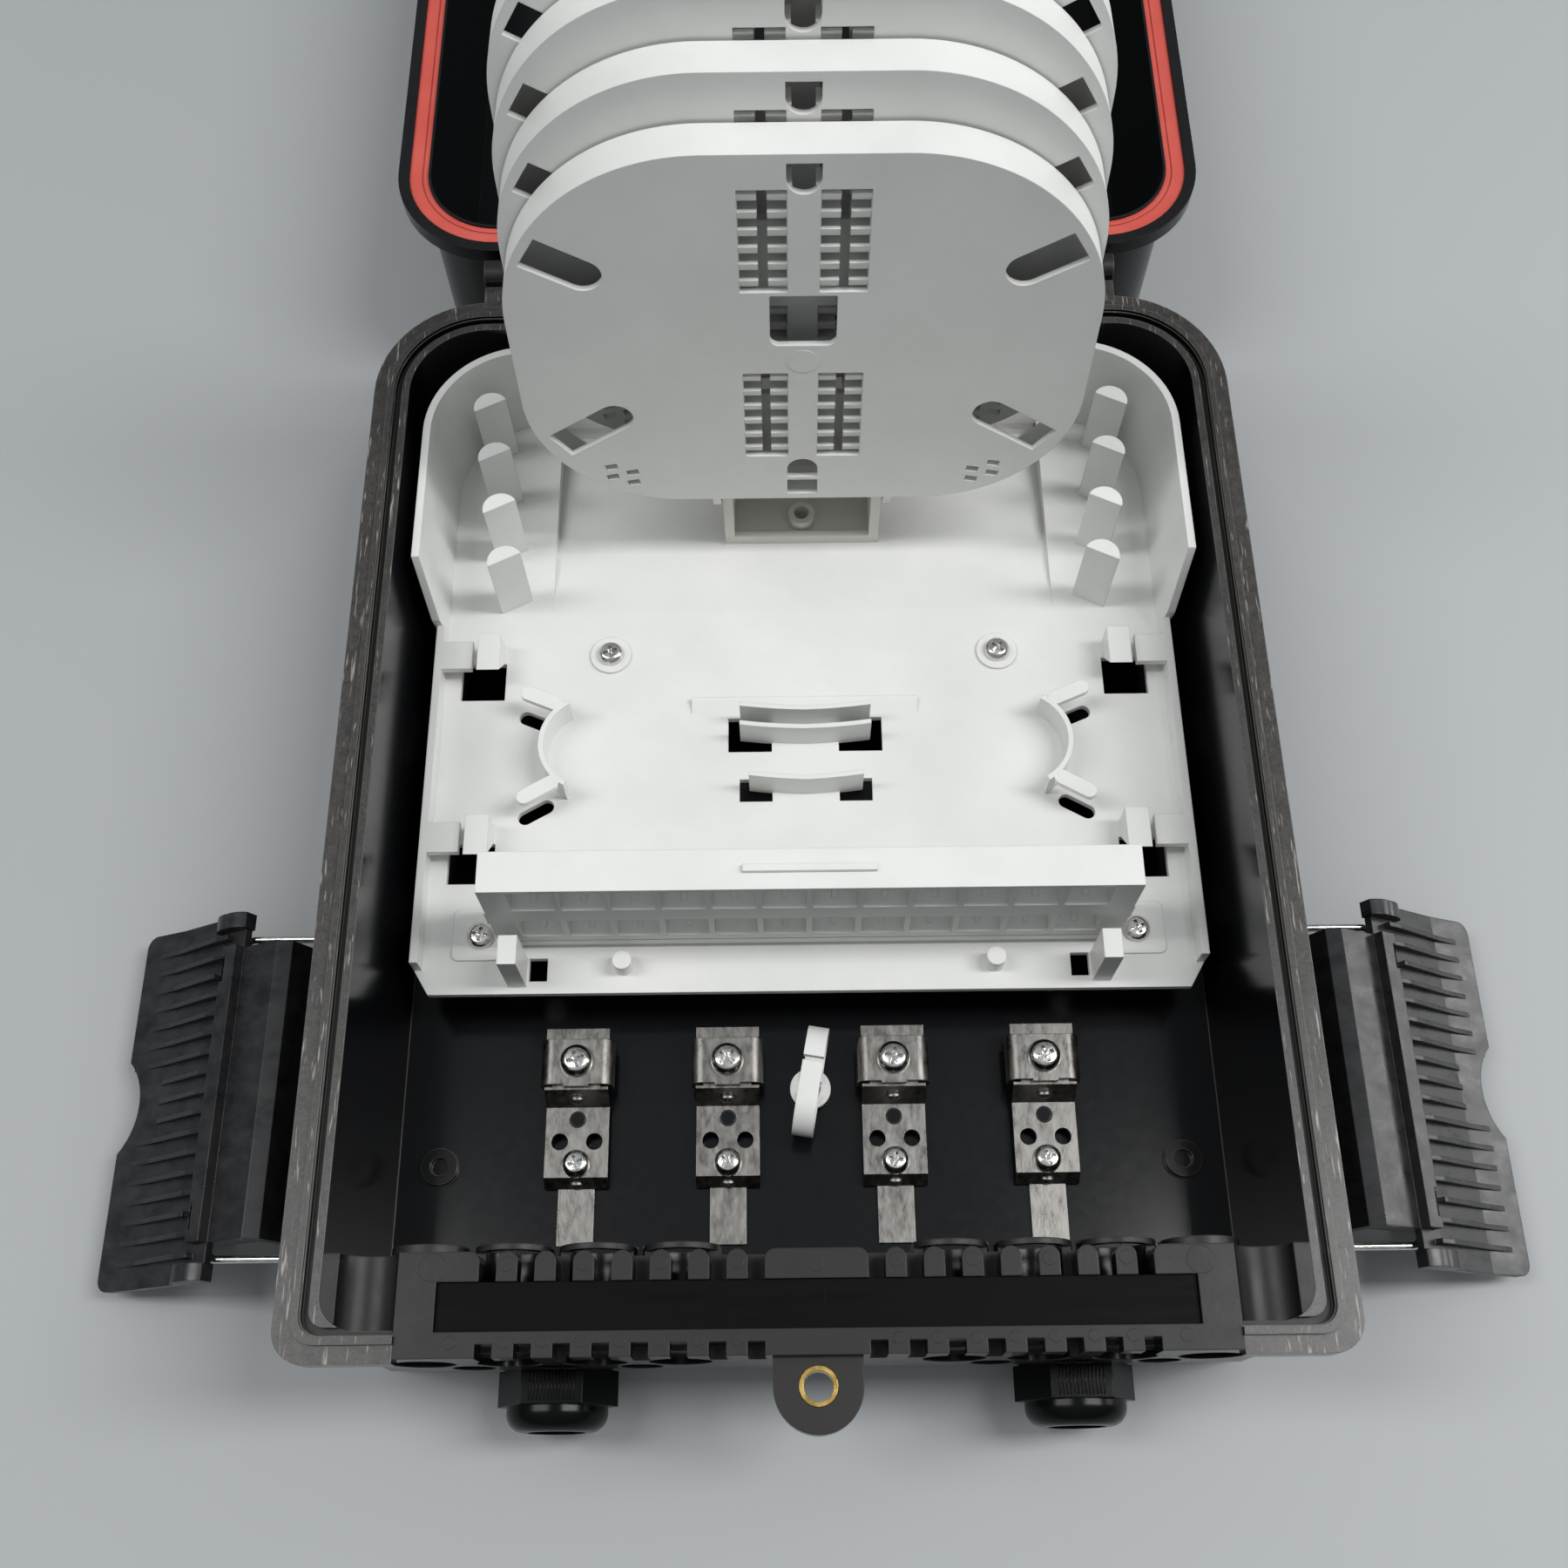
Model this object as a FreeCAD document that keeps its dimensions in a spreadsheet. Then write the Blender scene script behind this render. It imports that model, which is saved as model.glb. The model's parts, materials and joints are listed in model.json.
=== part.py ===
import FreeCAD, Part
import math
import os
import Sketcher

from FreeCAD import Placement, Rotation, Vector

# Fibre distribution box, lying on its back with the lid open.
# Origin: middle of the back face. +X right, +Y towards the hinge, +Z out of the box. Millimetres.

doc = FreeCAD.newDocument("fibre_distribution_box")

DIMENSIONS = {
    # base and lid shells
    "rim_width": 250.0,
    "rim_length": 303.0,
    "rim_height": 62.0,
    "rim_band": 10.2,
    "rim_thickness": 6.0,
    "far_radius": 32.0,
    "near_radius": 8.0,
    "wall_thickness": 3.0,
    "floor_thickness": 3.5,
    "wall_draft": 2.4,
    "foot_radius": 5.0,
    "ridge_inset": 4.2,
    "ridge_width": 1.8,
    "ridge_height": 1.0,
    "groove_width": 1.8,
    "groove_depth": 2.0,
    # hinge between base and lid
    "hinge_gap": 20.0,
    "hinge_lift": 0.25,
    "knuckle_radius": 4.5,
    "knuckle_span": 190.0,
    "knuckle_play": 0.5,
    "pin_radius": 2.0,
    "running_play": 0.08,
    # lid
    "lid_height": 62.0,
    "lid_flange": 5.0,
    "channel_width": 6.0,
    "channel_depth": 3.0,
    "gasket_sink": 0.8,
    "gasket_line": 0.4,
    "press_bar": 25.0,
    # cable entry head
    "head_half": 103.0,
    "head_reach": 24.7,
    "head_depth": 13.0,
    "head_proud": 1.0,
    "block_half": 97.0,
    "valley_radius": 7.0,
    "tooth_pitch": 8.9,
    "tooth_gap": 4.0,
    "tooth_depth": 9.0,
    "mid_block_half": 12.0,
    "inner_row": 6.8,
    "trough_width": 11.1,
    "trough_depth": 10.0,
    "trough_half": 88.0,
    "strip_sink": 1.0,
    "strip_joint": 2.0,
    "plate_depth": 3.5,
    "plate_foot": 33.2,
    "port_radius": 7.5,
    "port_pitch": 20.0,
    "port_first": 32.0,
    "port_height": 49.0,
    "port_drop": 10.5,
    "port_recess": 2.0,
    "collar_wall": 2.0,
    "collar_reach": 2.4,
    # lock ear
    "ear_width": 20.8,
    "ear_reach": 16.9,
    "ear_thickness": 6.0,
    "ear_sink": 3.0,
    "bush_radius": 4.45,
    "bush_bore": 3.45,
    "bush_proud": 0.3,
    # cable glands
    "gland_offset": 64.5,
    "gland_height": 17.5,
    "gland_thread": 9.9,
    "gland_collar": 13.6,
    "gland_collar_depth": 2.4,
    "gland_stub": 8.0,
    "gland_inside": 9.0,
    "gland_bore": 6.6,
    "nut_flats": 26.0,
    "nut_length": 8.4,
    "nut_dome": 6.0,
    "nut_mouth": 7.2,
    "seal_bore": 4.5,
    "locknut_depth": 5.0,
    # splice plate
    "plate_half": 108.0,
    "plate_near": 53.0,
    "plate_far": 137.0,
    "plate_top": 24.0,
    "plate_sheet": 2.2,
    "plate_corner": 30.0,
    "plate_chamfer": 7.0,
    "side_wall": 7.0,
    "bowl_wall": 33.0,
    "bowl_flare": 3.0,
    "bowl_back": 2.0,
    "bowl_start": 58.0,
    "crease": 66.0,
    "ramp_half": 75.0,
    "ramp_fall": 8.0,
    "plate_post_radius": 5.0,
    "screw_core": 1.7,
    "far_post_offset": 57.2,
    "far_post_place": 51.0,
    "near_post_offset": 90.2,
    "near_post_place": 36.6,
    "hook_height": 27.0,
    "hook_width": 10.2,
    "hook_depth": 4.6,
    "hook_pitch": 18.0,
    "hook_first": 68.0,
    "hook_offset": 85.8,
    "hook_spread": 2.4,
    "guide_radius": 15.5,
    "guide_offset": 60.5,
    "guide_place": 18.0,
    "guide_height": 10.0,
    "guide_wall": 1.5,
    "guide_tab_depth": 1.8,
    # adapter panel
    "panel_half": 84.2,
    "panel_near": 40.0,
    "panel_depth": 11.0,
    "panel_height": 44.0,
    "window_pitch": 13.0,
    "window_width": 11.4,
    "window_height": 12.5,
    "window_band": 7.5,
    "panel_skin": 1.6,
    "sill_groove": 0.8,
    # trays and their bracket
    "tray_half": 76.0,
    "tray_length": 125.0,
    "tray_start": 3.9,
    "tray_depth": 10.6,
    "tray_sheet": 1.8,
    "tray_wall": 1.6,
    "tray_corner": 42.0,
    "tray_tip_corner": 52.0,
    "tray_lean": 86.0,
    "tray_step": 12.2,
    "tray_axis_place": 94.0,
    "tray_axis_height": 45.0,
    "tray_lug": 2.4,
    "tray_lug_radius": 3.4,
    "tray_pin": 2.0,
    "tray_slot": 20.0,
    "tray_root_slot": 25.0,
    "tray_slot_radius": 5.0,
    "bracket_half": 23.4,
    "bracket_wall": 3.0,
    "bracket_nose": 2.6,
    "bracket_lip": 4.0,
    "bracket_boss": 4.0,
    # cable brackets
    "strap_width": 17.2,
    "strap_sheet": 1.2,
    "strap_outer": 63.6,
    "strap_inner": 22.6,
    "strap_rise": 3.3,
    "saddle_rise": 6.0,
    "tail_width": 9.8,
    "strap_hole": 2.25,
    "saddle_width": 19.8,
    "saddle_length": 12.4,
    "saddle_gap": 0.6,
    "saddle_skirt": 5.4,
    "saddle_shoulder": 3.4,
    "neck_play": 0.4,
    # fibre clip
    "clip_place": 75.6,
    "clip_turn": 10.0,
    "clip_length": 30.0,
    "clip_height": 17.0,
    "clip_width": 5.6,
    "clip_wall": 2.0,
    "clip_foot": 5.6,
    # latches
    "latch_place": 79.0,
    "latch_height": 22.0,
    "latch_pivot": 121.5,
    "bail_length": 34.0,
    "bail_span": 86.0,
    "bail_wire": 1.0,
    "bail_end": 5.0,
    "bail_bend": 2.6,
    "handle_length": 98.0,
    "handle_reach": 36.0,
    "handle_sheet": 2.2,
    "handle_play": 0.35,
    "handle_crown": 0.9,
    "notch_radius": 17.0,
    "notch_depth": 5.6,
    "handle_corner": 3.5,
    "handle_tilt": 30.0,
    "hub_radius": 3.4,
    "claw_height": 15.6,
    "claw_reach": 8.0,
    "rib_pitch": 5.3,
    "rib_width": 1.3,
    "rib_height": 2.4,
}

sheet = doc.addObject("Spreadsheet::Sheet", "Sizes")
for row, (alias, number) in enumerate(DIMENSIONS.items(), start=1):
    sheet.set(f"A{row}", alias)
    sheet.set(f"B{row}", str(number))
    sheet.setAlias(f"B{row}", alias)
doc.recompute()


class Size:
    # A number together with the sheet expression that gives it.
    def __init__(self, value, text):
        self.value = value
        self.text = text

    @staticmethod
    def of(number):
        if isinstance(number, Size):
            return number
        return Size(float(number), f"({float(number)!r})")

    def join(self, other, sign, value):
        return Size(value, f"({self.text} {sign} {Size.of(other).text})")

    def __add__(self, other):
        return self.join(other, "+", self.value + Size.of(other).value)

    def __sub__(self, other):
        return self.join(other, "-", self.value - Size.of(other).value)

    def __mul__(self, other):
        return self.join(other, "*", self.value * Size.of(other).value)

    def __truediv__(self, other):
        return self.join(other, "/", self.value / Size.of(other).value)

    def __neg__(self):
        return self * -1

    def __radd__(self, other):
        return Size.of(other) + self

    def __rsub__(self, other):
        return Size.of(other) - self

    def __rmul__(self, other):
        return Size.of(other) * self


def dim(alias):
    return Size(float(sheet.get(alias)), f"Sizes.{alias}")


def sine(angle):
    return Size(math.sin(math.radians(angle.value)), f"sin({angle.text})")


def cosine(angle):
    return Size(math.cos(math.radians(angle.value)), f"cos({angle.text})")


def tangent(angle):
    return Size(math.tan(math.radians(angle.value)), f"tan({angle.text})")


def root(number):
    return Size(math.sqrt(number.value), f"sqrt({number.text})")


# Outlines. A path is a list of corners (x, y); a corner (x, y, radius, turn) is reached by an arc,
# turn 1 for counter-clockwise and -1 for clockwise. A circle is ("circle", x, y, radius).

def rect(x0, y0, x1, y1):
    return [(x0, y0), (x1, y0), (x1, y1), (x0, y1)]


def rounded(x0, y0, x1, y1, near, far):
    # rectangle whose corners have one radius on the near side and another on the far side
    return [
        (x0 + near, y0), (x1 - near, y0), (x1, y0 + near, near, 1), (x1, y1 - far),
        (x1 - far, y1, far, 1), (x0 + far, y1), (x0, y1 - far, far, 1), (x0, y0 + near),
        (x0 + near, y0, near, 1),
    ]


def circle(x, y, radius):
    return ("circle", x, y, radius)


def slot(x0, x1, y, radius):
    # obround along x, its ends made of quarter arcs
    return [
        (x0, y - radius), (x1, y - radius), (x1 + radius, y, radius, 1), (x1, y + radius, radius, 1),
        (x0, y + radius), (x0 - radius, y, radius, 1), (x0, y - radius, radius, 1),
    ]


def mirrored(outline):
    if outline[0] == "circle":
        return ("circle", -outline[1], outline[2], outline[3])
    flipped = []
    for corner in outline:
        turned = [-corner[0], corner[1]]
        if len(corner) == 4:
            turned += [corner[2], -corner[3]]
        flipped.append(tuple(turned))
    return flipped


def both(outline):
    return [outline, mirrored(outline)]


AXES = {"XY": ("XY_Plane", 1), "XZ": ("XZ_Plane", -1), "YZ": ("YZ_Plane", 1)}


pieces = []


class Piece:
    # One body whose features read the sheet: a whole sub-part, or one form of a larger sub-part.
    def __init__(self, label, whole=True):
        self.body = doc.addObject("PartDesign::Body", label)
        self.body.Label = label
        self.body.AllowCompound = True
        self.made = 0
        if whole:
            pieces.append(self.body)

    def name(self, kind):
        self.made += 1
        return f"{self.body.Label}_{kind}_{self.made}"

    def origin(self, role):
        return [item for item in self.body.Origin.OriginFeatures if item.Role == role][0]

    def sketch(self, plane, level, outlines):
        role, sign = AXES[plane]
        sketch = self.body.newObject("Sketcher::SketchObject", self.name("sketch"))
        sketch.AttachmentSupport = (self.origin(role), [""])
        sketch.MapMode = "FlatFace"
        offset = Size.of(level) * sign
        sketch.AttachmentOffset = Placement(Vector(0, 0, offset.value), Rotation())
        sketch.setExpression("AttachmentOffset.Base.z", offset.text)
        draw(sketch, outlines)
        return sketch

    def pad(self, plane, outlines, low, high):
        start = high if plane == "XZ" else low
        feature = self.body.newObject("PartDesign::Pad", self.name("pad"))
        feature.Profile = self.sketch(plane, start, outlines)
        return self.extent(feature, low, high)

    def pocket(self, plane, outlines, low, high):
        start = low if plane == "XZ" else high
        feature = self.body.newObject("PartDesign::Pocket", self.name("pocket"))
        feature.Profile = self.sketch(plane, start, outlines)
        return self.extent(feature, low, high)

    def extent(self, feature, low, high):
        length = Size.of(high) - Size.of(low)
        feature.Refine = False
        feature.Length = length.value
        feature.setExpression("Length", length.text)
        self.body.Tip = feature
        return feature

    def loft_cut(self, lower, low, upper, high):
        return self.loft(lower, low, upper, high, "PartDesign::SubtractiveLoft")

    def loft(self, lower, low, upper, high, kind="PartDesign::AdditiveLoft"):
        feature = self.body.newObject(kind, self.name("loft"))
        feature.Profile = self.sketch("XY", low, [lower])
        feature.Sections = [self.sketch("XY", high, [upper])]
        feature.Ruled = True
        feature.Refine = False
        self.body.Tip = feature
        return feature

    def turned(self, outline):
        # solid of revolution about the body's own Z axis
        feature = self.body.newObject("PartDesign::Revolution", self.name("turned"))
        feature.Profile = self.sketch("XZ", 0, [outline])
        feature.ReferenceAxis = (self.origin("Z_Axis"), [""])
        feature.Angle = 360
        feature.Refine = False
        self.body.Tip = feature
        return feature

    def repeat(self, feature, axis, step, count, back=False):
        pattern = self.body.newObject("PartDesign::LinearPattern", self.name("pattern"))
        pattern.Originals = [feature]
        pattern.Direction = (self.origin(axis), [""])
        pattern.Reversed = back
        pattern.Refine = False
        pattern.Occurrences = count
        length = Size.of(step) * (count - 1)
        pattern.Length = length.value
        pattern.setExpression("Length", length.text)
        self.body.Tip = pattern
        return pattern

    def fillet(self, chosen, radius):
        doc.recompute()
        tip = self.body.Tip
        names = [f"Edge{i + 1}" for i, edge in enumerate(tip.Shape.Edges) if chosen(edge)]
        feature = self.body.newObject("PartDesign::Fillet", self.name("fillet"))
        feature.Base = (tip, names)
        feature.Radius = radius.value
        feature.setExpression("Radius", radius.text)
        self.body.Tip = feature
        return feature

    def place(self, x, y, z, turn=None):
        place(self.body, x, y, z, turn)
        return self


def fused(label, forms):
    # one sub-part made of several forms
    union = doc.addObject("Part::MultiFuse", label)
    union.Label = label
    union.Shapes = [form.body for form in forms]
    union.Refine = True
    return union


def less(label, form, neighbour):
    # one sub-part cut back to the face of the one that is set into it
    rest = doc.addObject("Part::Cut", label)
    rest.Label = label
    rest.Base = form.body
    rest.Tool = neighbour.body
    rest.Refine = True
    return rest


def place(item, x, y, z, turn=None):
    spot = [Size.of(x), Size.of(y), Size.of(z)]
    item.Placement = Placement(Vector(*[s.value for s in spot]), turn or Rotation())
    for axis, size in zip("xyz", spot):
        item.setExpression(f"Placement.Base.{axis}", size.text)


def draw(sketch, outlines, closed=True):
    # all curves of a sketch first, then the constraints that tie every corner to the sheet
    curves = []
    links = []
    sizes = []
    for outline in outlines:
        if outline[0] == "circle":
            x, y, radius = [Size.of(value) for value in outline[1:]]
            index = len(curves)
            curves.append(Part.Circle(Vector(x.value, y.value, 0), Vector(0, 0, 1), radius.value))
            sizes.append(("Radius", (index,), radius))
            sizes += corner_sizes(index, 3, x, y)
        else:
            trace(outline, closed, curves, links, sizes)
    sketch.addGeometry(curves)
    sketch.addConstraint(links + [
        Sketcher.Constraint(kind, *spots, size.value) for kind, spots, size in sizes])
    for offset, (kind, spots, size) in enumerate(sizes):
        sketch.setExpression(f"Constraints[{len(links) + offset}]", size.text)


def corner_sizes(index, end, x, y):
    return [("DistanceX", (-1, 1, index, end), x), ("DistanceY", (-1, 1, index, end), y)]


def trace(outline, closed, curves, links, sizes):
    corners = [(Size.of(c[0]), Size.of(c[1])) + tuple(c[2:]) for c in outline]
    pairs = list(zip(corners, corners[1:]))
    head, tail = corners[0], corners[-1]
    if closed and abs(tail[0].value - head[0].value) + abs(tail[1].value - head[1].value) > 1e-6:
        pairs.append((tail, head))
    ends = []
    for start, end in pairs:
        p = Vector(start[0].value, start[1].value, 0)
        q = Vector(end[0].value, end[1].value, 0)
        index = len(curves)
        if len(end) == 4:
            radius = Size.of(end[2])
            curves.append(arc(p, q, radius.value, end[3]))
            ends.append((index, 1, 2) if end[3] > 0 else (index, 2, 1))
            sizes.append(("Radius", (index,), radius))
        else:
            curves.append(Part.LineSegment(p, q))
            ends.append((index, 1, 2))
        sizes += corner_sizes(index, ends[-1][1], start[0], start[1])
    following = ends[1:] + ends[:1] if closed else ends[1:]
    for here, after in zip(ends, following):
        links.append(Sketcher.Constraint("Coincident", here[0], here[2], after[0], after[1]))
    if not closed:
        last = pairs[-1][1]
        sizes += corner_sizes(ends[-1][0], ends[-1][2], last[0], last[1])


def arc(p, q, radius, turn):
    middle = (p + q) * 0.5
    chord = q - p
    rise = math.sqrt(max(radius ** 2 - (chord.Length / 2) ** 2, 0))
    across = Vector(-chord.y, chord.x, 0).normalize() * rise * turn
    centre = middle + across
    start, end = (p, q) if turn > 0 else (q, p)
    angles = [math.atan2(v.y - centre.y, v.x - centre.x) for v in (start, end)]
    return Part.ArcOfCircle(Part.Circle(centre, Vector(0, 0, 1), radius), angles[0], angles[1])


def face_turn(axis, degrees):
    return Rotation(Vector(*axis), degrees)


# Shared places

half_width = dim("rim_width") / 2
half_length = dim("rim_length") / 2
rim_top = dim("rim_height")
inner_half = half_width - dim("rim_band")
tub_half = inner_half + dim("wall_thickness")
inner_far = half_length - dim("rim_band")
tub_far = inner_far + dim("wall_thickness")
near_inside = half_length - 7.5
tub_near = near_inside + dim("wall_thickness")
near_face = half_length - dim("head_proud")
head_inner = near_face - dim("head_reach") + 1
hinge_place = half_length + dim("hinge_gap") / 2
hinge_height = rim_top + dim("hinge_lift")
inner_radius = dim("far_radius") - dim("rim_band")
tub_radius = inner_radius + dim("wall_thickness")
lid_near = half_length + dim("hinge_gap")
lid_far = lid_near + dim("rim_length")
plate_under = dim("plate_top") - dim("plate_sheet")
strap_centres = [-dim("strap_outer"), -dim("strap_inner"), dim("strap_inner"), dim("strap_outer")]
floor_top = dim("floor_thickness")
KNUCKLES = 5
TRAYS = 4


def ring(inset, width, near=None):
    # two outlines of a band that follows the rim at a distance inside its outer edge
    bands = []
    for depth in (Size.of(inset), inset + width):
        near_radius = dim("near_radius") - depth * 0.5
        bands.append(rounded(
            depth - half_width, depth - half_length, half_width - depth, half_length - depth,
            near_radius, dim("far_radius") - depth))
    return bands


def lid_ring(inset, width):
    bands = []
    for depth in (Size.of(inset), inset + width):
        far_radius = dim("near_radius") - depth * 0.5
        bands.append(rounded(
            depth - half_width, lid_near + depth, half_width - depth, lid_far - depth,
            dim("far_radius") - depth, far_radius))
    return bands


def knuckle_steps(parity):
    step = dim("knuckle_span") / KNUCKLES
    for i in range(parity, KNUCKLES, 2):
        low = step * i - dim("knuckle_span") / 2 + dim("knuckle_play") / 2
        yield low, low + step - dim("knuckle_play")


def add_knuckles(piece, parity, root_place):
    # barrels about the hinge pin and the webs that carry them
    radius = dim("knuckle_radius")
    low_side = hinge_height - radius
    way = 1 if root_place.value < hinge_place.value else -1
    barrel = [(root_place, low_side), (hinge_place, low_side),
              (hinge_place + radius * way, hinge_height, radius, way),
              (hinge_place, hinge_height + radius, radius, way),
              (hinge_place - radius * way, hinge_height, radius, way),
              (root_place, hinge_height)]
    for low, high in knuckle_steps(parity):
        piece.pad("YZ", [barrel], low, high)
    bore = dim("pin_radius") + dim("running_play")
    reach = dim("knuckle_span") / 2
    piece.pocket("YZ", [circle(hinge_place, hinge_height, bore)], -reach, reach)


def make_base():
    base = Piece("base_shell")
    near_radius = dim("near_radius")
    base.pad("XY", [rounded(-tub_half, -tub_near, tub_half, tub_far, near_radius, tub_radius)], 0, rim_top)
    base.fillet(lambda edge: edge.BoundBox.ZMax < 0.01, dim("foot_radius"))
    flange = rounded(-half_width, -half_length, half_width, half_length, near_radius, dim("far_radius"))
    base.pad("XY", [flange], rim_top - dim("rim_thickness"), rim_top)
    draft = dim("wall_draft")
    upper = rounded(-inner_half, -near_inside, inner_half, inner_far, near_radius, inner_radius)
    lower = rounded(draft - inner_half, -near_inside, inner_half - draft, inner_far - draft,
                    near_radius, inner_radius)
    base.loft_cut(lower, floor_top, upper, rim_top)
    base.pad("XY", ring(dim("ridge_inset"), dim("ridge_width")), rim_top, rim_top + dim("ridge_height"))
    groove = dim("ridge_inset") + dim("ridge_width") + 0.3
    base.pocket("XY", ring(groove, dim("groove_width")), rim_top - dim("groove_depth"), rim_top)
    # room for the entry head in the near wall
    room = rect(-dim("block_half"), -near_face - 2, dim("block_half"), 1 - near_inside)
    base.pocket("XY", [room], rim_top - dim("head_depth") - 5, rim_top + dim("ridge_height"))
    front = rect(-dim("head_half"), -near_face - 2, dim("head_half"), 1 - near_inside)
    base.pocket("XY", [front], dim("plate_foot"), rim_top - dim("rim_thickness"))
    for side in (-1, 1):
        bore = circle(dim("gland_offset") * side, dim("gland_height"), dim("gland_thread") + 0.1)
        base.pocket("XZ", [bore], -tub_near - 1, 4 - near_inside)
    make_posts(base)
    make_latch_lugs(base)
    add_knuckles(base, 0, half_length - 2)
    head = Piece("head_block", whole=False)
    make_entry_head(head)
    make_teeth(head)
    make_ear(head)
    pieces.append(less("entry_head", head, base))


def make_entry_head(base):
    slab_low = rim_top - dim("head_depth")
    corner = dim("near_radius")
    slab = [
        (-inner_half, -head_inner), (-inner_half, corner - near_inside),
        (corner - inner_half, -near_inside, corner, 1), (inner_half - corner, -near_inside),
        (inner_half, corner - near_inside, corner, 1), (inner_half, -head_inner),
    ]
    base.pad("XY", [slab], slab_low, rim_top)
    front = rect(-dim("head_half"), dim("plate_foot"), dim("head_half"), rim_top - dim("rim_thickness"))
    base.pad("XZ", [front], -near_face, -near_inside)
    block = rect(-dim("block_half"), slab_low, dim("block_half"), rim_top)
    base.pad("XZ", [block], -near_face, 1 - near_inside)
    # collars behind the upper ports and the blind ports themselves
    radius = dim("port_radius")
    tops = []
    collars = []
    lows = []
    for i in range(4):
        x = dim("port_first") + dim("port_pitch") * i
        tops += both(circle(x, dim("port_height"), radius))
        collars += both(circle(x, dim("port_height"), radius + dim("collar_wall")))
        if i < 3:
            lows += both(circle(x + dim("port_pitch") / 2, dim("port_height") - dim("port_drop"),
                radius * 0.7))
    collar_end = -head_inner + dim("collar_reach")
    base.pad("XZ", collars, -near_inside - 1, collar_end)
    base.pocket("XZ", tops, -near_face + dim("plate_depth"), collar_end)
    base.pocket("XZ", tops + lows, -near_face, -near_face + dim("port_recess"))
    # scooped valleys between the corner shelves and the block
    x = dim("block_half") + dim("valley_radius")
    base.pocket("XZ", both(circle(x, rim_top + 1, dim("valley_radius"))), -near_inside, -head_inner + 1)


def make_teeth(base):
    low = rim_top - dim("tooth_depth")
    high = rim_top + dim("ridge_height")
    inner_far_side = -head_inner
    inner_near_side = inner_far_side - dim("inner_row")
    outer_far_side = dim("ridge_inset") - half_length - 0.1
    trough_near = inner_near_side - dim("trough_width")
    trough = rect(-dim("trough_half"), trough_near, dim("trough_half"), inner_near_side)
    base.pocket("XY", [trough], rim_top - dim("trough_depth"), high)
    for side in (-1, 1):
        x = dim("mid_block_half") * side
        edge = x + dim("tooth_gap") * side
        x0, x1 = (x, edge) if side > 0 else (edge, x)
        round_end = (dim("tooth_pitch") - dim("tooth_gap")) / 2 - 0.05
        bend = inner_far_side - round_end
        flare = [
            (x0, inner_near_side), (x1, inner_near_side), (x1, bend),
            (x1 + round_end, inner_far_side, round_end, -1),
            (x1 + round_end, inner_far_side + 1), (x0 - round_end, inner_far_side + 1),
            (x0 - round_end, inner_far_side),
            (x0, bend, round_end, -1),
        ]
        gaps = [flare, rect(x0, -near_face - 1, x1, outer_far_side)]
        cut = base.pocket("XY", gaps, low, high)
        base.repeat(cut, "X_Axis", dim("tooth_pitch"), 8, back=side < 0)


def make_ear(base):
    half = dim("ear_width") / 2
    centre = -near_face - dim("ear_reach") + half
    top = rim_top - dim("ear_sink")
    outline = [
        (half, -near_face + 1), (-half, -near_face + 1), (-half, centre), (0, centre - half, half, 1),
        (half, centre, half, 1),
    ]
    base.pad("XY", [outline], top - dim("ear_thickness"), top)
    base.pocket("XY", [circle(0, centre, dim("bush_radius"))], top - dim("ear_thickness"), top)


def plate_post_spots():
    for side in (-1, 1):
        yield dim("far_post_offset") * side, dim("far_post_place")
        yield dim("near_post_offset") * side, -dim("near_post_place")


STRAP_SCREW = 95.9
STRAP_PEG = 83.8


def make_posts(base):
    spots = list(plate_post_spots())
    root_low = floor_top - 1
    base.pad("XY", [circle(x, y, dim("plate_post_radius")) for x, y in spots], root_low, plate_under)
    base.pocket("XY", [circle(x, y, dim("screw_core")) for x, y in spots], floor_top + 2, plate_under)
    under = floor_top + dim("strap_rise")
    base.pad("XY", [circle(x, -STRAP_SCREW, 3.7) for x in strap_centres], root_low, under)
    base.pocket("XY", [circle(x, -STRAP_SCREW, dim("screw_core")) for x in strap_centres], floor_top, under)
    peg_top = under + dim("strap_sheet")
    base.pad("XY", [circle(x, -STRAP_PEG, dim("strap_hole") - 0.15) for x in strap_centres], root_low,
        peg_top)
    base.pad("XY", both(circle(101, -95.6, 5)), root_low, floor_top + 2)
    base.pocket("XY", both(circle(101, -95.6, 2.4)), floor_top, floor_top + 2)
    base.pad("XY", [circle(0, -dim("clip_place"), 4)], root_low, floor_top + 1.5)
    base.pocket("XY", [circle(0, -dim("clip_place"), dim("screw_core"))], floor_top - 2, floor_top + 1.5)
    bracket_spot = circle(0, dim("tray_axis_place") + dim("bracket_boss"), 4.5)
    base.pad("XY", [bracket_spot], root_low, plate_under - dim("ramp_fall") * 0.75)


def latch_ends():
    half = dim("bail_span") / 2
    return [-dim("latch_place") - half, -dim("latch_place") + half]


def make_latch_lugs(base):
    # two lugs on each side wall that hold the ends of the wire bail
    radius = dim("bail_wire") + 2.2
    z = dim("latch_height")
    x = dim("latch_pivot")
    wall = tub_half - 1
    lug = [(wall, z - radius), (x, z - radius), (x + radius, z, radius, 1), (x, z + radius, radius, 1),
           (wall, z + radius)]
    ends = latch_ends()
    inset = dim("bail_wire") * 2
    base.pad("XZ", both(lug), ends[0] + inset, ends[0] + inset + dim("bail_end"))
    base.pad("XZ", both(lug), ends[1] - inset - dim("bail_end"), ends[1] - inset)
    base.pocket("XZ", both(circle(x, z, dim("bail_wire") + dim("running_play"))), ends[0], ends[1])


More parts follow.
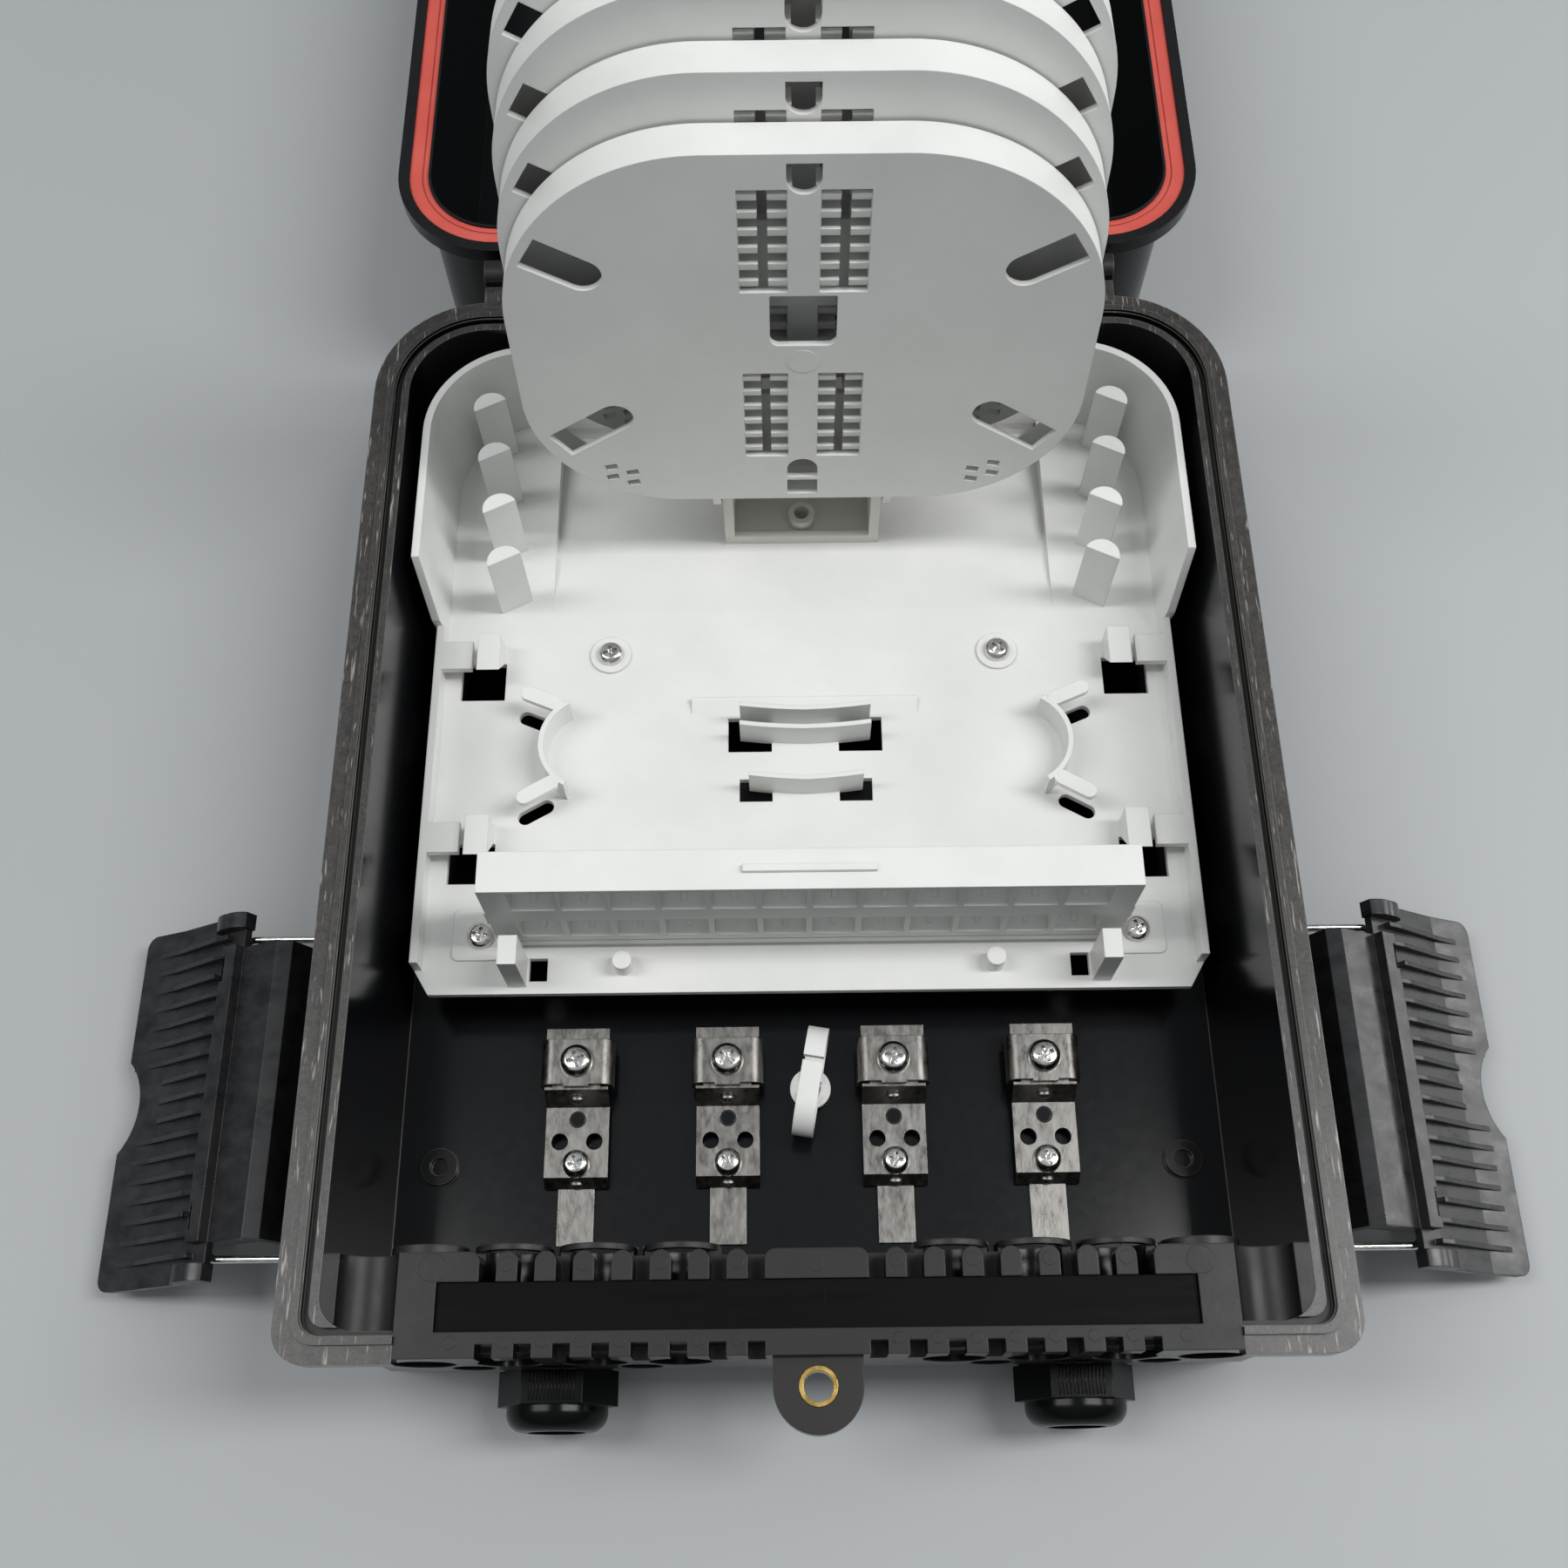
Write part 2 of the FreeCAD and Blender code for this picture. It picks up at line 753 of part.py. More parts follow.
def make_lid():
    lid = Piece("lid_shell")
    near_radius = dim("near_radius")
    top = rim_top
    low = top - dim("lid_height")
    inset = dim("rim_band") - dim("wall_thickness")
    outer = rounded(-tub_half, lid_near + inset, tub_half, lid_far - inset, tub_radius, near_radius)
    lid.pad("XY", [outer], low, top)
    lid.fillet(lambda edge: edge.BoundBox.ZMax < low.value + 0.01, dim("foot_radius"))
    flange = rounded(-half_width, lid_near, half_width, lid_far, dim("far_radius"), near_radius)
    lid.pad("XY", [flange], top - dim("lid_flange"), top)
    draft = dim("wall_draft")
    band = dim("rim_band")
    upper = rounded(-inner_half, lid_near + band, inner_half, lid_far - dim("press_bar"), inner_radius,
        near_radius)
    lower = rounded(draft - inner_half, lid_near + band + draft, inner_half - draft,
                    lid_far - dim("press_bar") - draft, inner_radius, near_radius)
    lid.loft_cut(lower, low + floor_top, upper, top)
    channel = lid_ring(dim("rim_band") - dim("channel_width") - 0.8, dim("channel_width"))
    lid.pocket("XY", channel, top - dim("channel_depth"), top)
    add_knuckles(lid, 1, lid_near + 2)
    return lid


def make_gasket():
    gasket = Piece("lid_gasket")
    bands = lid_ring(dim("rim_band") - dim("channel_width") - 0.8, dim("channel_width"))
    low = rim_top - dim("channel_depth")
    gasket.pad("XY", bands, low, rim_top - dim("gasket_sink"))
    crease = lid_ring(dim("rim_band") - dim("channel_width") * 0.35 - 0.8, dim("gasket_line"))
    gasket.pocket("XY", crease, rim_top - dim("gasket_sink") - dim("gasket_line"),
        rim_top - dim("gasket_sink"))


def make_hinge_pin():
    pin_piece = Piece("hinge_pin")
    reach = dim("knuckle_span") / 2
    pin_piece.pad("YZ", [circle(hinge_place, hinge_height, dim("pin_radius"))], -reach, reach)


def make_seal_strips():
    far_side = -head_inner - dim("inner_row")
    near_side = far_side - dim("trough_width")
    low = rim_top - dim("trough_depth")
    high = rim_top - dim("strip_sink")
    for label, x0, x1 in (("seal_strip_left", -dim("trough_half"), dim("strip_joint")),
                          ("seal_strip_right", dim("strip_joint"), dim("trough_half"))):
        strip = Piece(label)
        strip.pad("XY", [rect(x0, near_side, x1, far_side)], low, high)


def make_bush():
    bush = Piece("ear_bush")
    half = dim("ear_width") / 2
    centre = -near_face - dim("ear_reach") + half
    top = rim_top - dim("ear_sink")
    rings = [circle(0, 0, dim("bush_radius")), circle(0, 0, dim("bush_bore"))]
    bush.pad("XY", rings, 0, dim("ear_thickness") + dim("bush_proud"))
    bush.place(0, centre, top - dim("ear_thickness"))


def hexagon(flats):
    corner = flats / math.sqrt(3)
    side = flats / 2
    return [(corner, 0), (corner / 2, side), (-corner / 2, side), (-corner, 0), (-corner / 2, -side),
            (corner / 2, -side)]


def make_glands():
    # every gland is made about its own Z axis, which points out of the box along -Y
    outward = face_turn((1, 0, 0), 90)
    wall = tub_near - near_inside
    play = dim("running_play")
    for word, side in (("left", -1), ("right", 1)):
        spot = (dim("gland_offset") * side, -tub_near, dim("gland_height"))
        body = Piece(f"gland_body_{word}")
        bore = dim("gland_bore")
        stub = dim("gland_collar_depth") + dim("gland_stub")
        body.turned([
            (bore, -wall - dim("gland_inside")), (dim("gland_thread"), -wall - dim("gland_inside")),
            (dim("gland_thread"), 0), (dim("gland_collar"), 0),
            (dim("gland_collar"), dim("gland_collar_depth")),
            (dim("gland_thread") - 0.9, dim("gland_collar_depth")), (dim("gland_thread") - 0.9, stub),
            (bore, stub),
        ])
        body.place(*spot, outward)

        nut = Piece(f"gland_nut_{word}")
        low = dim("gland_collar_depth") + 0.3
        mid = low + dim("nut_length")
        top = mid + dim("nut_dome")
        nut.pad("XY", [hexagon(dim("nut_flats"))], low, mid)
        radius = dim("nut_flats") / 2 - 0.4
        crown = dim("nut_dome") - 1.5
        nut.turned([(0, mid), (radius, mid), (radius, mid + 1.5), (radius - crown, top, crown, 1),
            (0, top)])
        nut.pocket("XY", [circle(0, 0, dim("gland_thread") - 0.9 + play)], low, stub + 0.4)
        nut.pocket("XY", [circle(0, 0, dim("nut_mouth"))], low, top)
        nut.place(*spot, outward)

        seal = Piece(f"gland_seal_{word}")
        seal_low = stub - 4
        seal.turned([
            (dim("seal_bore"), seal_low), (bore, seal_low), (bore, top - 1), (dim("seal_bore"), top - 1)])
        seal.place(*spot, outward)

        lock = Piece(f"gland_locknut_{word}")
        lock_low = -wall - dim("locknut_depth")
        lock.pad("XY", [hexagon(dim("nut_flats")), circle(0, 0, dim("gland_thread"))], lock_low, -wall)
        lock.place(*spot, outward)


def make_splice_plate():
    plate = Piece("plate_sheet_form", whole=False)
    half = dim("plate_half")
    near = -dim("plate_near")
    far = dim("plate_far")
    corner = dim("plate_corner")
    chamfer = dim("plate_chamfer")
    top = dim("plate_top")
    sheet_low = plate_under
    outline = [
        (chamfer * 0.6 - half, near), (half - chamfer * 0.6, near), (half, near + chamfer),
        (half, far - corner),
        (half - corner, far, corner, 1), (corner - half, far), (-half, far - corner, corner, 1),
        (-half, near + chamfer),
    ]
    plate.pad("XY", [outline], sheet_low, top)
    # low side walls, then the tall wall of the far bowl
    skin = dim("plate_sheet")
    side = rect(half - skin, near + chamfer, half, dim("bowl_start") + 2)
    plate.pad("XY", both(side), sheet_low, top + dim("side_wall"))
    bowl_top = top + dim("bowl_wall")
    wide = half + dim("bowl_flare")
    back = far + dim("bowl_back")
    plate.loft(bowl_outline(half, far, corner), sheet_low, bowl_outline(wide, back, corner), bowl_top)
    inner = corner - skin
    plate.loft_cut(bowl_outline(half - skin, far - skin, inner), top,
        bowl_outline(wide - skin, back - skin, inner), bowl_top)
    slope = [
        (dim("bowl_start") - 1, top + dim("side_wall")),
        (dim("bowl_start") + 8, top + dim("bowl_wall") + 1),
        (dim("bowl_start") - 1, top + dim("bowl_wall") + 1),
    ]
    plate.pocket("YZ", [slope], -wide - 1, wide + 1)
    make_ramp(plate)
    hooks = Piece("plate_hooks", whole=False)
    make_hooks(hooks)
    guides = Piece("plate_guides", whole=False)
    make_guides(plate, guides)
    ties = Piece("plate_ties", whole=False)
    make_ties(plate, ties)
    posts = Piece("plate_posts", whole=False)
    make_panel_posts(plate, posts)
    spots = list(plate_post_spots())
    plate.pad("XY", [circle(x, y, 6) for x, y in spots[::2]], sheet_low, top + 0.8)
    plate.pocket("XY", [circle(x, y, dim("screw_core") + 0.4) for x, y in spots], sheet_low, top + 0.8)
    pieces.append(fused("splice_plate", [plate, hooks, guides, ties, posts]))


def bowl_outline(side, back, corner):
    # the far part of the plate, seen from above: open straight near edge, round far corners
    start = dim("bowl_start")
    return [
        (side, start), (side, back - corner), (side - corner, back, corner, 1), (corner - side, back),
        (-side, back - corner, corner, 1), (-side, start),
    ]


def make_ramp(plate):
    # the middle of the far floor falls away under the trays
    top = dim("plate_top")
    far = dim("plate_far") - dim("plate_sheet")
    ramp = dim("ramp_half")
    fall = dim("ramp_fall")
    skin = dim("plate_sheet")
    opening = [(dim("crease"), plate_under), (far, plate_under), (far, top + 1), (dim("crease"), top + 1)]
    plate.pocket("YZ", [opening], -ramp, ramp)
    floor_sheet = [
        (dim("crease") - 1, plate_under), (dim("crease"), plate_under), (far, plate_under - fall),
        (far + skin, plate_under - fall), (far + skin, plate_under + skin), (far, top - fall),
        (dim("crease"), top), (dim("crease") - 1, top),
    ]
    plate.pad("YZ", [floor_sheet], -ramp, ramp)
    cheek = [(dim("crease"), top), (dim("crease"), plate_under), (far, plate_under - fall), (far, top)]
    plate.pad("YZ", [cheek], ramp, ramp + skin)
    plate.pad("YZ", [cheek], -ramp - skin, -ramp)


def make_hooks(plate):
    # four half-round tongues on each far side ledge, their flat faces turned towards the middle
    top = dim("plate_top")
    high = top + dim("hook_height")
    for i in range(HOOKS):
        x = dim("hook_offset") + dim("hook_spread") * i
        y = dim("hook_first") + dim("hook_pitch") * i
        plate.pad("XY", both(tongue(x, y, dim("hook_width") / 2, dim("hook_depth"), -HOOK_TURN)),
            top - 1, high)


HOOKS = 4
HOOK_TURN = 26


def tongue(x, y, half, depth, turn):
    # flat front edge of the given half width, round back that reaches depth behind it
    along = (math.cos(math.radians(turn)), math.sin(math.radians(turn)))
    bulge = (half * half + depth * depth) / (depth * 2)
    tail = (x - half * along[0], y - half * along[1])
    head = (x + half * along[0], y + half * along[1])
    back = (x - depth * along[1], y + depth * along[0])
    return [tail, head, back + (bulge, 1), tail + (bulge, 1)]


def make_guides(plate, stand):
    # arc guides for the loose fibre; each end carries a tab that points outwards over a slot in the sheet
    top = dim("plate_top")
    radius = dim("guide_radius")
    inner = radius - dim("guide_wall")
    across = 0.5
    along = 0.8660254
    x = dim("guide_offset")
    y = dim("guide_place")
    band = [
        (x + radius * across, y - radius * along), (x + radius, y, radius, 1),
        (x + radius * across, y + radius * along, radius, 1), (x + inner * across, y + inner * along),
        (x + inner, y, inner, -1), (x + inner * across, y - inner * along, inner, -1),
    ]
    stand.pad("XY", both(band), top - 1, top + dim("guide_height"))
    tab_low = top + dim("guide_height") - dim("guide_tab_depth")
    for way, lean, spot, gap in ((1, 23.0, (75.6, 32.2), (78.0, 29.2)),
        (-1, -30.0, (75.4, 3.4), (77.0, 0.6))):
        plate.pocket("XY", both(leaning_slot(gap[0], gap[1], 3.4, 2.1, lean)), plate_under, top)
        stand.pad("XY", both(leaning_slot(spot[0], spot[1], 4.2, 2.2, lean)), tab_low,
            top + dim("guide_height"))


def make_ties(plate, stand):
    # curved tie bars in the middle with their mould openings, and the corner cut-outs with their teeth
    top = dim("plate_top")
    high = top + dim("guide_height")
    for y, half, hole in ((24.0, 18.8, (9.7, 22.3, 18.9, 29.7)), (5.5, 16.2, (9.6, 19.0, 3.2, 10.2))):
        plate.pocket("XY", both(rect(hole[0], hole[2], hole[1], hole[3])), plate_under, top)
        bows = [y] if y < 10 else [y - 2.6, y + 3.4]
        for bow in bows:
            bar = [(-half, bow + 1.5), (0, bow, 160, 1), (half, bow + 1.5, 160, 1), (half, bow + 2.9),
                   (0, bow + 1.4, 160, -1), (-half, bow + 2.9, 160, -1)]
            stand.pad("XY", [bar], top - 1, high)
    step = [(31.0, top), (36.0, top), (36.0, top + 1.6), (35.0, top + 1.6)]
    stand.pad("YZ", [step], -33, 33)
    for y in (42.5, -15.0):
        plate.pocket("XY", both(rect(88.0, y - 6, 101.0, y + 6)), plate_under, top)
        tooth = [(y - 1, high), (y + 11, high), (y + 11, top - 1), (y + 7, top - 1)]
        stand.pad("YZ", [tooth], 88.5, 95)
        stand.pad("YZ", [tooth], -95, -88.5)
        tab = rect(97.0, y + 1, dim("plate_half") - 1, y + 10)
        stand.pad("XY", both(tab), top + dim("side_wall") - 2.2, top + dim("side_wall"))


def make_panel_posts(plate, stand):
    # latch posts in front of the panel ends, cone bosses that carry it and the openings beside them
    top = dim("plate_top")
    front = -dim("panel_near") - 1
    plate.pocket("XY", both(rect(71.5, -49.5, 76.5, -43.0)), plate_under, top)
    stand.pad("XY", both(rect(77.0, -51, 82.0, front - 2)), top - 1, top + 20)
    stand.pad("XY", both(circle(50.7, -45.5, 2.6)), top - 1, top + 6)
    stand.pad("XY", both(rounded(Size.of(84.5), Size.of(-43.5), Size.of(98.0), Size.of(-28.5),
        Size.of(2), Size.of(2))),
              top - 1, top + 0.6)
    stand.pocket("XY", both(circle(dim("near_post_offset"), -dim("near_post_place"),
        dim("screw_core") + 0.4)),
                 top - 1, top + 0.6)


def make_adapter_panel():
    panel = Piece("adapter_panel")
    half = dim("panel_half")
    near = -dim("panel_near")
    far = near + dim("panel_depth")
    low = dim("plate_top") + 0.6
    high = low + dim("panel_height") - 0.6
    panel.pad("XZ", [rect(-half, low, half, high)], near, far)
    upper = high - dim("panel_skin") - dim("window_height")
    lower = upper - dim("window_band") - dim("window_height")
    first = dim("window_pitch") * -5.5
    x0 = first - dim("window_width") / 2
    x1 = first + dim("window_width") / 2
    pair = [rect(x0, z, x1, z + dim("window_height")) for z in (upper, lower)]
    panel.repeat(panel.pocket("XZ", pair, near, far), "X_Axis", dim("window_pitch"), 12)
    # two sill strips under the windows, parted by grooves, and a clear gap below them
    strip = (lower - low) / 3
    groove = dim("sill_groove")
    grooves = [rect(2 - half, low + strip * i - groove, half - 2, low + strip * i) for i in (2,)]
    panel.pocket("XZ", grooves, near, near + 2.5)
    panel.pocket("XZ", [rect(2 - half, low - 1, half - 2, low + strip - groove)], near, far)
    panel.pad("XZ", [rect(-17, high - 1, 17, high + 1.2)], near + 4.5, near + 6.5)
    panel.pad("XZ", both(rect(half - 1, low + 14, half + 1.6, low + 22)), near + 2, near + 6)


def tray_axis(k):
    step = dim("tray_step") * k
    return dim("tray_axis_place") + step, dim("tray_axis_height") + step


def make_tray_bracket():
    bracket = Piece("tray_bracket")
    nose = dim("bracket_nose")
    half = dim("bracket_half")
    wall = dim("bracket_wall")
    ramp_at = dim("plate_top") + 0.02
    first_y, first_z = tray_axis(0)
    profile = [(first_y - nose, ramp_at - dim("ramp_fall"))]
    for k in range(TRAYS):
        y, z = tray_axis(k)
        profile += [(y - nose, z + nose), (y + nose, z + nose), (y + nose, z)]
        if k < TRAYS - 1:
            profile.append((y + dim("tray_step") - nose, z))
    last_y, last_z = tray_axis(TRAYS - 1)
    profile += [(last_y + nose, ramp_at - dim("ramp_fall"))]
    bracket.pad("YZ", [profile], half - wall, half)
    bracket.pad("YZ", [profile], -half, wall - half)
    # foot that follows the ramp of the plate
    fall = dim("ramp_fall")
    run = dim("plate_far") - dim("plate_sheet") - dim("crease")
    near_z = dim("plate_top") - fall * (first_y - nose - dim("crease")) / run
    far_z = dim("plate_top") - fall * (last_y + nose - dim("crease")) / run
    foot = [
        (first_y - nose, near_z), (last_y + nose, far_z), (last_y + nose, far_z + wall),
        (first_y - nose, near_z + wall)]
    bracket.pad("YZ", [foot], -half, half)
    below = [(first_y - nose - 1, near_z), (first_y - nose, near_z), (last_y + nose, far_z),
             (last_y + nose + 1, far_z), (last_y + nose + 1, ramp_at - fall - 2),
             (first_y - nose - 1, ramp_at - fall - 2)]
    bracket.pocket("YZ", [below], -half - 1, half + 1)
    front_top = near_z + dim("bracket_lip")
    bracket.pad("XZ", [rect(-half, near_z + 1, half, front_top)], first_y - nose, first_y - nose + 2)
    boss_y = dim("tray_axis_place") + dim("bracket_boss")
    boss_top = near_z + dim("bracket_lip") + 3
    bracket.pad("XY", [circle(0, boss_y, 4.0)], near_z + 0.2, boss_top)
    bracket.pocket("XY", [circle(0, boss_y, 2.3)], near_z + 2, boss_top)
    bracket.pocket("XY", [circle(0, boss_y, 1.5)], near_z - 6, near_z + 2)
    pins = [circle(*tray_axis(k), dim("tray_pin")) for k in range(TRAYS)]
    reach = half + 0.4 + dim("tray_lug")
    bracket.pad("YZ", pins, half - 1, reach)
    bracket.pad("YZ", pins, -reach, 1 - half)


def make_trays():
    # a tray is drawn lying flat, hinge axis along X through its origin, open side up, tip towards -Y;
    # it then turns up about that axis to its leaning rest
    for tray in [Piece("tray_shell", whole=False)]:
        half = dim("tray_half")
        root_y = -dim("tray_start")
        tip = root_y - dim("tray_length")
        low = dim("tray_depth") / -2
        high = dim("tray_depth") / 2
        corner = dim("tray_corner")
        wall = dim("tray_wall")
        tip_corner = dim("tray_tip_corner")
        tray.pad("XY", [rounded(-half, tip, half, root_y, tip_corner, corner)], low, high)
        hollow = rounded(wall - half, tip + wall, half - wall, root_y - wall, tip_corner - wall,
            corner - wall)
        tray.pocket("XY", [hollow], low + dim("tray_sheet"), high)
        make_tray_openings(tray, low, root_y)
        combs = Piece("tray_combs", whole=False)
        make_tray_combs(combs, low)
        lug_in = dim("bracket_half") + 0.4
        lug_out = lug_in + dim("tray_lug")
        radius = dim("tray_lug_radius")
        lug = [(root_y - 4, low), (root_y - 4, high), (root_y - 1, high), (0, radius),
            (radius, 0, radius, -1),
               (0, -radius, radius, -1), (root_y, low)]
        hole = circle(0, 0, dim("tray_pin") + dim("running_play"))
        for x0, x1 in ((lug_in, lug_out), (-lug_out, -lug_in)):
            tray.pad("YZ", [lug], x0, x1)
            tray.pocket("YZ", [hole], x0, x1)
        form = fused("tray_form", [tray, combs])
    for k in range(TRAYS):
        stood = doc.addObject("Part::Compound", f"splice_tray_{k + 1}")
        stood.Label = f"splice_tray_{k + 1}"
        stood.Links = [form]
        y, z = tray_axis(k)
        place(stood, 0, y, z, face_turn((-1, 0, 0), 180 - DIMENSIONS["tray_lean"]))
        stood.setExpression("Placement.Rotation.Angle", "180 - Sizes.tray_lean")
        pieces.append(stood)


# openings of the splice holders: reach along the tray, then across it
WINDOWS = (((22.9, 56.8), (4.0, 16.0)), ((86.0, 118.6), (4.0, 16.0)))


def make_tray_openings(tray, low, root_y):
    high = low + dim("tray_sheet")
    cuts = []
    for (start, end), (inner, outer) in WINDOWS:
        cuts += both(rect(inner, -end, outer, -start))
    cuts.append(rounded(Size.of(-8.6), Size.of(-84.8), Size.of(8.6), Size.of(-67.1), Size.of(0.6),
        Size.of(2.4)))
    cuts.append([(-4.2, -126.2), (4.2, -126.2), (4.2, -121.4), (0, -117.2, 4.2, 1), (-4.2, -121.4, 4.2, 1)])
    cuts.append([(-4.3, -13.6), (-4.3, -17.3), (0, -21.6, 4.3, 1), (4.3, -17.3, 4.3, 1), (4.3, -13.6)])
    cuts.append(rect(-4.3, -12.4, 4.3, -6.0))
    tray.pocket("XY", cuts, low, high)
    slots = []
    for x, y, length, lean in ((59.0, -95.0, dim("tray_slot"), -31.0),
        (57.5, -35.5, dim("tray_root_slot"), 35.0)):
        slots += both(tongue_slot(x, y, length / 2, dim("tray_slot_radius"), lean))
    for i in range(2):
        for j in range(2):
            slots += both(leaning_rect(48.5 + 5.8 * i, -12.0 - 4.4 * j - 2.5 * i, 3.6, 2.2, 12.0))
    tray.pocket("XY", slots, low, high)


def tongue_slot(x, y, half, radius, lean):
    # slot with a square outer end and a round inner end
    along = Vector(math.cos(math.radians(lean)), math.sin(math.radians(lean)), 0)
    wide = Size.of(radius)
    side = (-along.y, along.x)
    reach = half - radius

    def spot(out, over):
        return (out * along.x + over * side[0] + x, out * along.y + over * side[1] + y)

    return [
        spot(-reach, -wide), spot(half, -wide), spot(half, wide), spot(-reach, wide),
        spot(-half, Size.of(0)) + (wide, 1), spot(-reach, -wide) + (wide, 1),
    ]


def leaning_rect(x, y, length, width, lean):
    cosine_lean = math.cos(math.radians(lean))
    sine_lean = math.sin(math.radians(lean))
    corners = ((-0.5, -0.5), (0.5, -0.5), (0.5, 0.5), (-0.5, 0.5))
    return [(x + length * a * cosine_lean - width * b * sine_lean,
        y + length * a * sine_lean + width * b * cosine_lean)
            for a, b in corners]


def leaning_slot(x, y, half, radius, lean):
    # obround that leans by an angle from the x direction
    along = Vector(math.cos(math.radians(lean)), math.sin(math.radians(lean)), 0)
    side = Vector(-along.y, along.x, 0) * radius
    centre = Vector(x, y, 0)
    head = centre + along * half
    tail = centre - along * half
    ends = [tail - side, head - side, head + along * radius, head + side, tail + side,
        tail - along * radius]
    p = [(v.x, v.y) for v in ends]
    return [p[0], p[1], p[2] + (radius, 1), p[3] + (radius, 1), p[4], p[5] + (radius, 1),
        p[0] + (radius, 1)]


def make_tray_combs(tray, low):
    # splice holders: two rows of lipped fingers in each opening, on rails that stand on the sheet
    for (start, end), (inner, outer) in WINDOWS:
        first = -end + 1.4
        step = (end - start - 5.2) / (FINGERS - 1)
        width = (outer - inner) * 0.4
        for x0 in (inner, outer - width):
            x1 = x0 + width
            finger = [[(first, low + 0.3), (first + 3.0, low + 1.5), (first + 3.0, low + 6.4),
                (first + 1.4, low + 6.4),
                       (first + 1.4, low + 2.2), (first, low + 1.5)]]
            for a, b in ((x0, x1), (-x1, -x0)):
                row = tray.pad("YZ", finger, a, b)
                tray.repeat(row, "Y_Axis", step, FINGERS)
        sheet_top = low + dim("tray_sheet")
        rails = both(rect(inner - 1.2, -end - 1, inner + 0.2, 1 - start))
        rails += both(rect(outer - 0.2, -end - 1, outer + 1.2, 1 - start))
        tray.pad("XY", rails, sheet_top - 0.5, low + 6.4)


FINGERS = 6


def make_cable_brackets():
    # folded strap: clamping table, step, drilled table, step, tail
    under = floor_top
    table = floor_top + dim("strap_rise")
    clamp = table + dim("saddle_rise")
    skin = dim("strap_sheet")
    for i, x in enumerate(strap_centres):
        strap = Piece(f"cable_bracket_{i + 1}")
        profile = [
            (-60, clamp), (-60, clamp + skin), (-77, clamp + skin), (-80.5, table + skin),
            (-99.5, table + skin),
            (-102, under + skin), (-117, under + skin), (-117, under), (-102.8, under), (-99.9, table),
            (-80.9, table),
            (-77.4, clamp),
        ]
        half = dim("strap_width") / 2
        strap.pad("YZ", [profile], -half, half)
        tail = dim("tail_width") / 2
        strap.pocket("XY", both(rect(tail, Size.of(-118), half + 1, Size.of(-102))), under - 1, clamp + 2)
        # the neck under the saddle leaves a wide tab at the far end
        neck = dim("saddle_width") / 2 - dim("saddle_shoulder")
        reach = dim("saddle_length") / 2 + dim("neck_play")
        strap.pocket("XY", both(rect(neck, -reach - SADDLE_SCREW, half + 1, reach - SADDLE_SCREW)),
            clamp - 1, clamp + 3)
        holes = [circle(0, -STRAP_PEG, dim("strap_hole")), circle(0, -STRAP_SCREW, 2.0)]
        holes += both(circle(4.7, -89.8, dim("strap_hole")))
        strap.pocket("XY", holes, table - 1, table + 3)
        strap.pocket("XY", [circle(0, -SADDLE_SCREW, 2.0)], clamp - 1, clamp + 3)
        strap.place(x, 0, 0)


SADDLE_SCREW = 69.6


def make_saddles():
    # inverted channel with rolled shoulders that grips over the clamping table
    clamp = floor_top + dim("strap_rise") + dim("saddle_rise") + dim("strap_sheet")
    low = clamp + dim("saddle_gap")
    skin = dim("strap_sheet")
    half = dim("saddle_width") / 2
    high = low + skin
    foot = low - dim("saddle_skirt")
    outer = dim("saddle_shoulder")
    inner = outer - skin
    profile = [
        (half, foot), (half, high - outer), (half - outer, high, outer, 1), (outer - half, high),
        (-half, high - outer, outer, 1), (-half, foot), (skin - half, foot), (skin - half, low - inner),
        (outer - half, low, inner, -1), (half - outer, low), (half - skin, low - inner, inner, -1),
        (half - skin, foot),
    ]
    length = dim("saddle_length") / 2
    for i, x in enumerate(strap_centres):
        saddle = Piece(f"clamp_saddle_{i + 1}")
        saddle.pad("XZ", [profile], -length, length)
        saddle.pad("XY", [rect(Size.of(-3.4), -length - 0.6, Size.of(3.4), -length)], low, high)
        saddle.pocket("XY", [circle(0, 0, 2.1)], low - 1, high + 1)
        saddle.place(x, -SADDLE_SCREW, 0)


def screw_group(label, spots, head, dome, core, length):
    # identical domed screws share one profile; each stands at its own spot, head seated at its z
    profile = doc.addObject("Sketcher::SketchObject", f"{label}_profile")
    profile.Placement = Placement(Vector(), Rotation(Vector(1, 0, 0), 90))
    bulge = (head * head + dome * dome) / (dome * 2)
    draw(profile, [[(0, -length), (core, -length), (core, 0), (head, 0), (0, dome, bulge, 1)]])
    screws = []
    for i, (x, y, z) in enumerate(spots):
        screw = doc.addObject("Part::Revolution", f"{label}_screw_{i + 1}")
        screw.Source = profile
        screw.Axis = Vector(0, 0, 1)
        screw.Angle = 360
        screw.Solid = True
        place(screw, x, y, z)
        screws.append(screw)
    if len(screws) == 1:
        screws[0].Label = label
        pieces.append(screws[0])
        return
    group = doc.addObject("Part::Compound", label)
    group.Label = label
    group.Links = screws
    pieces.append(group)


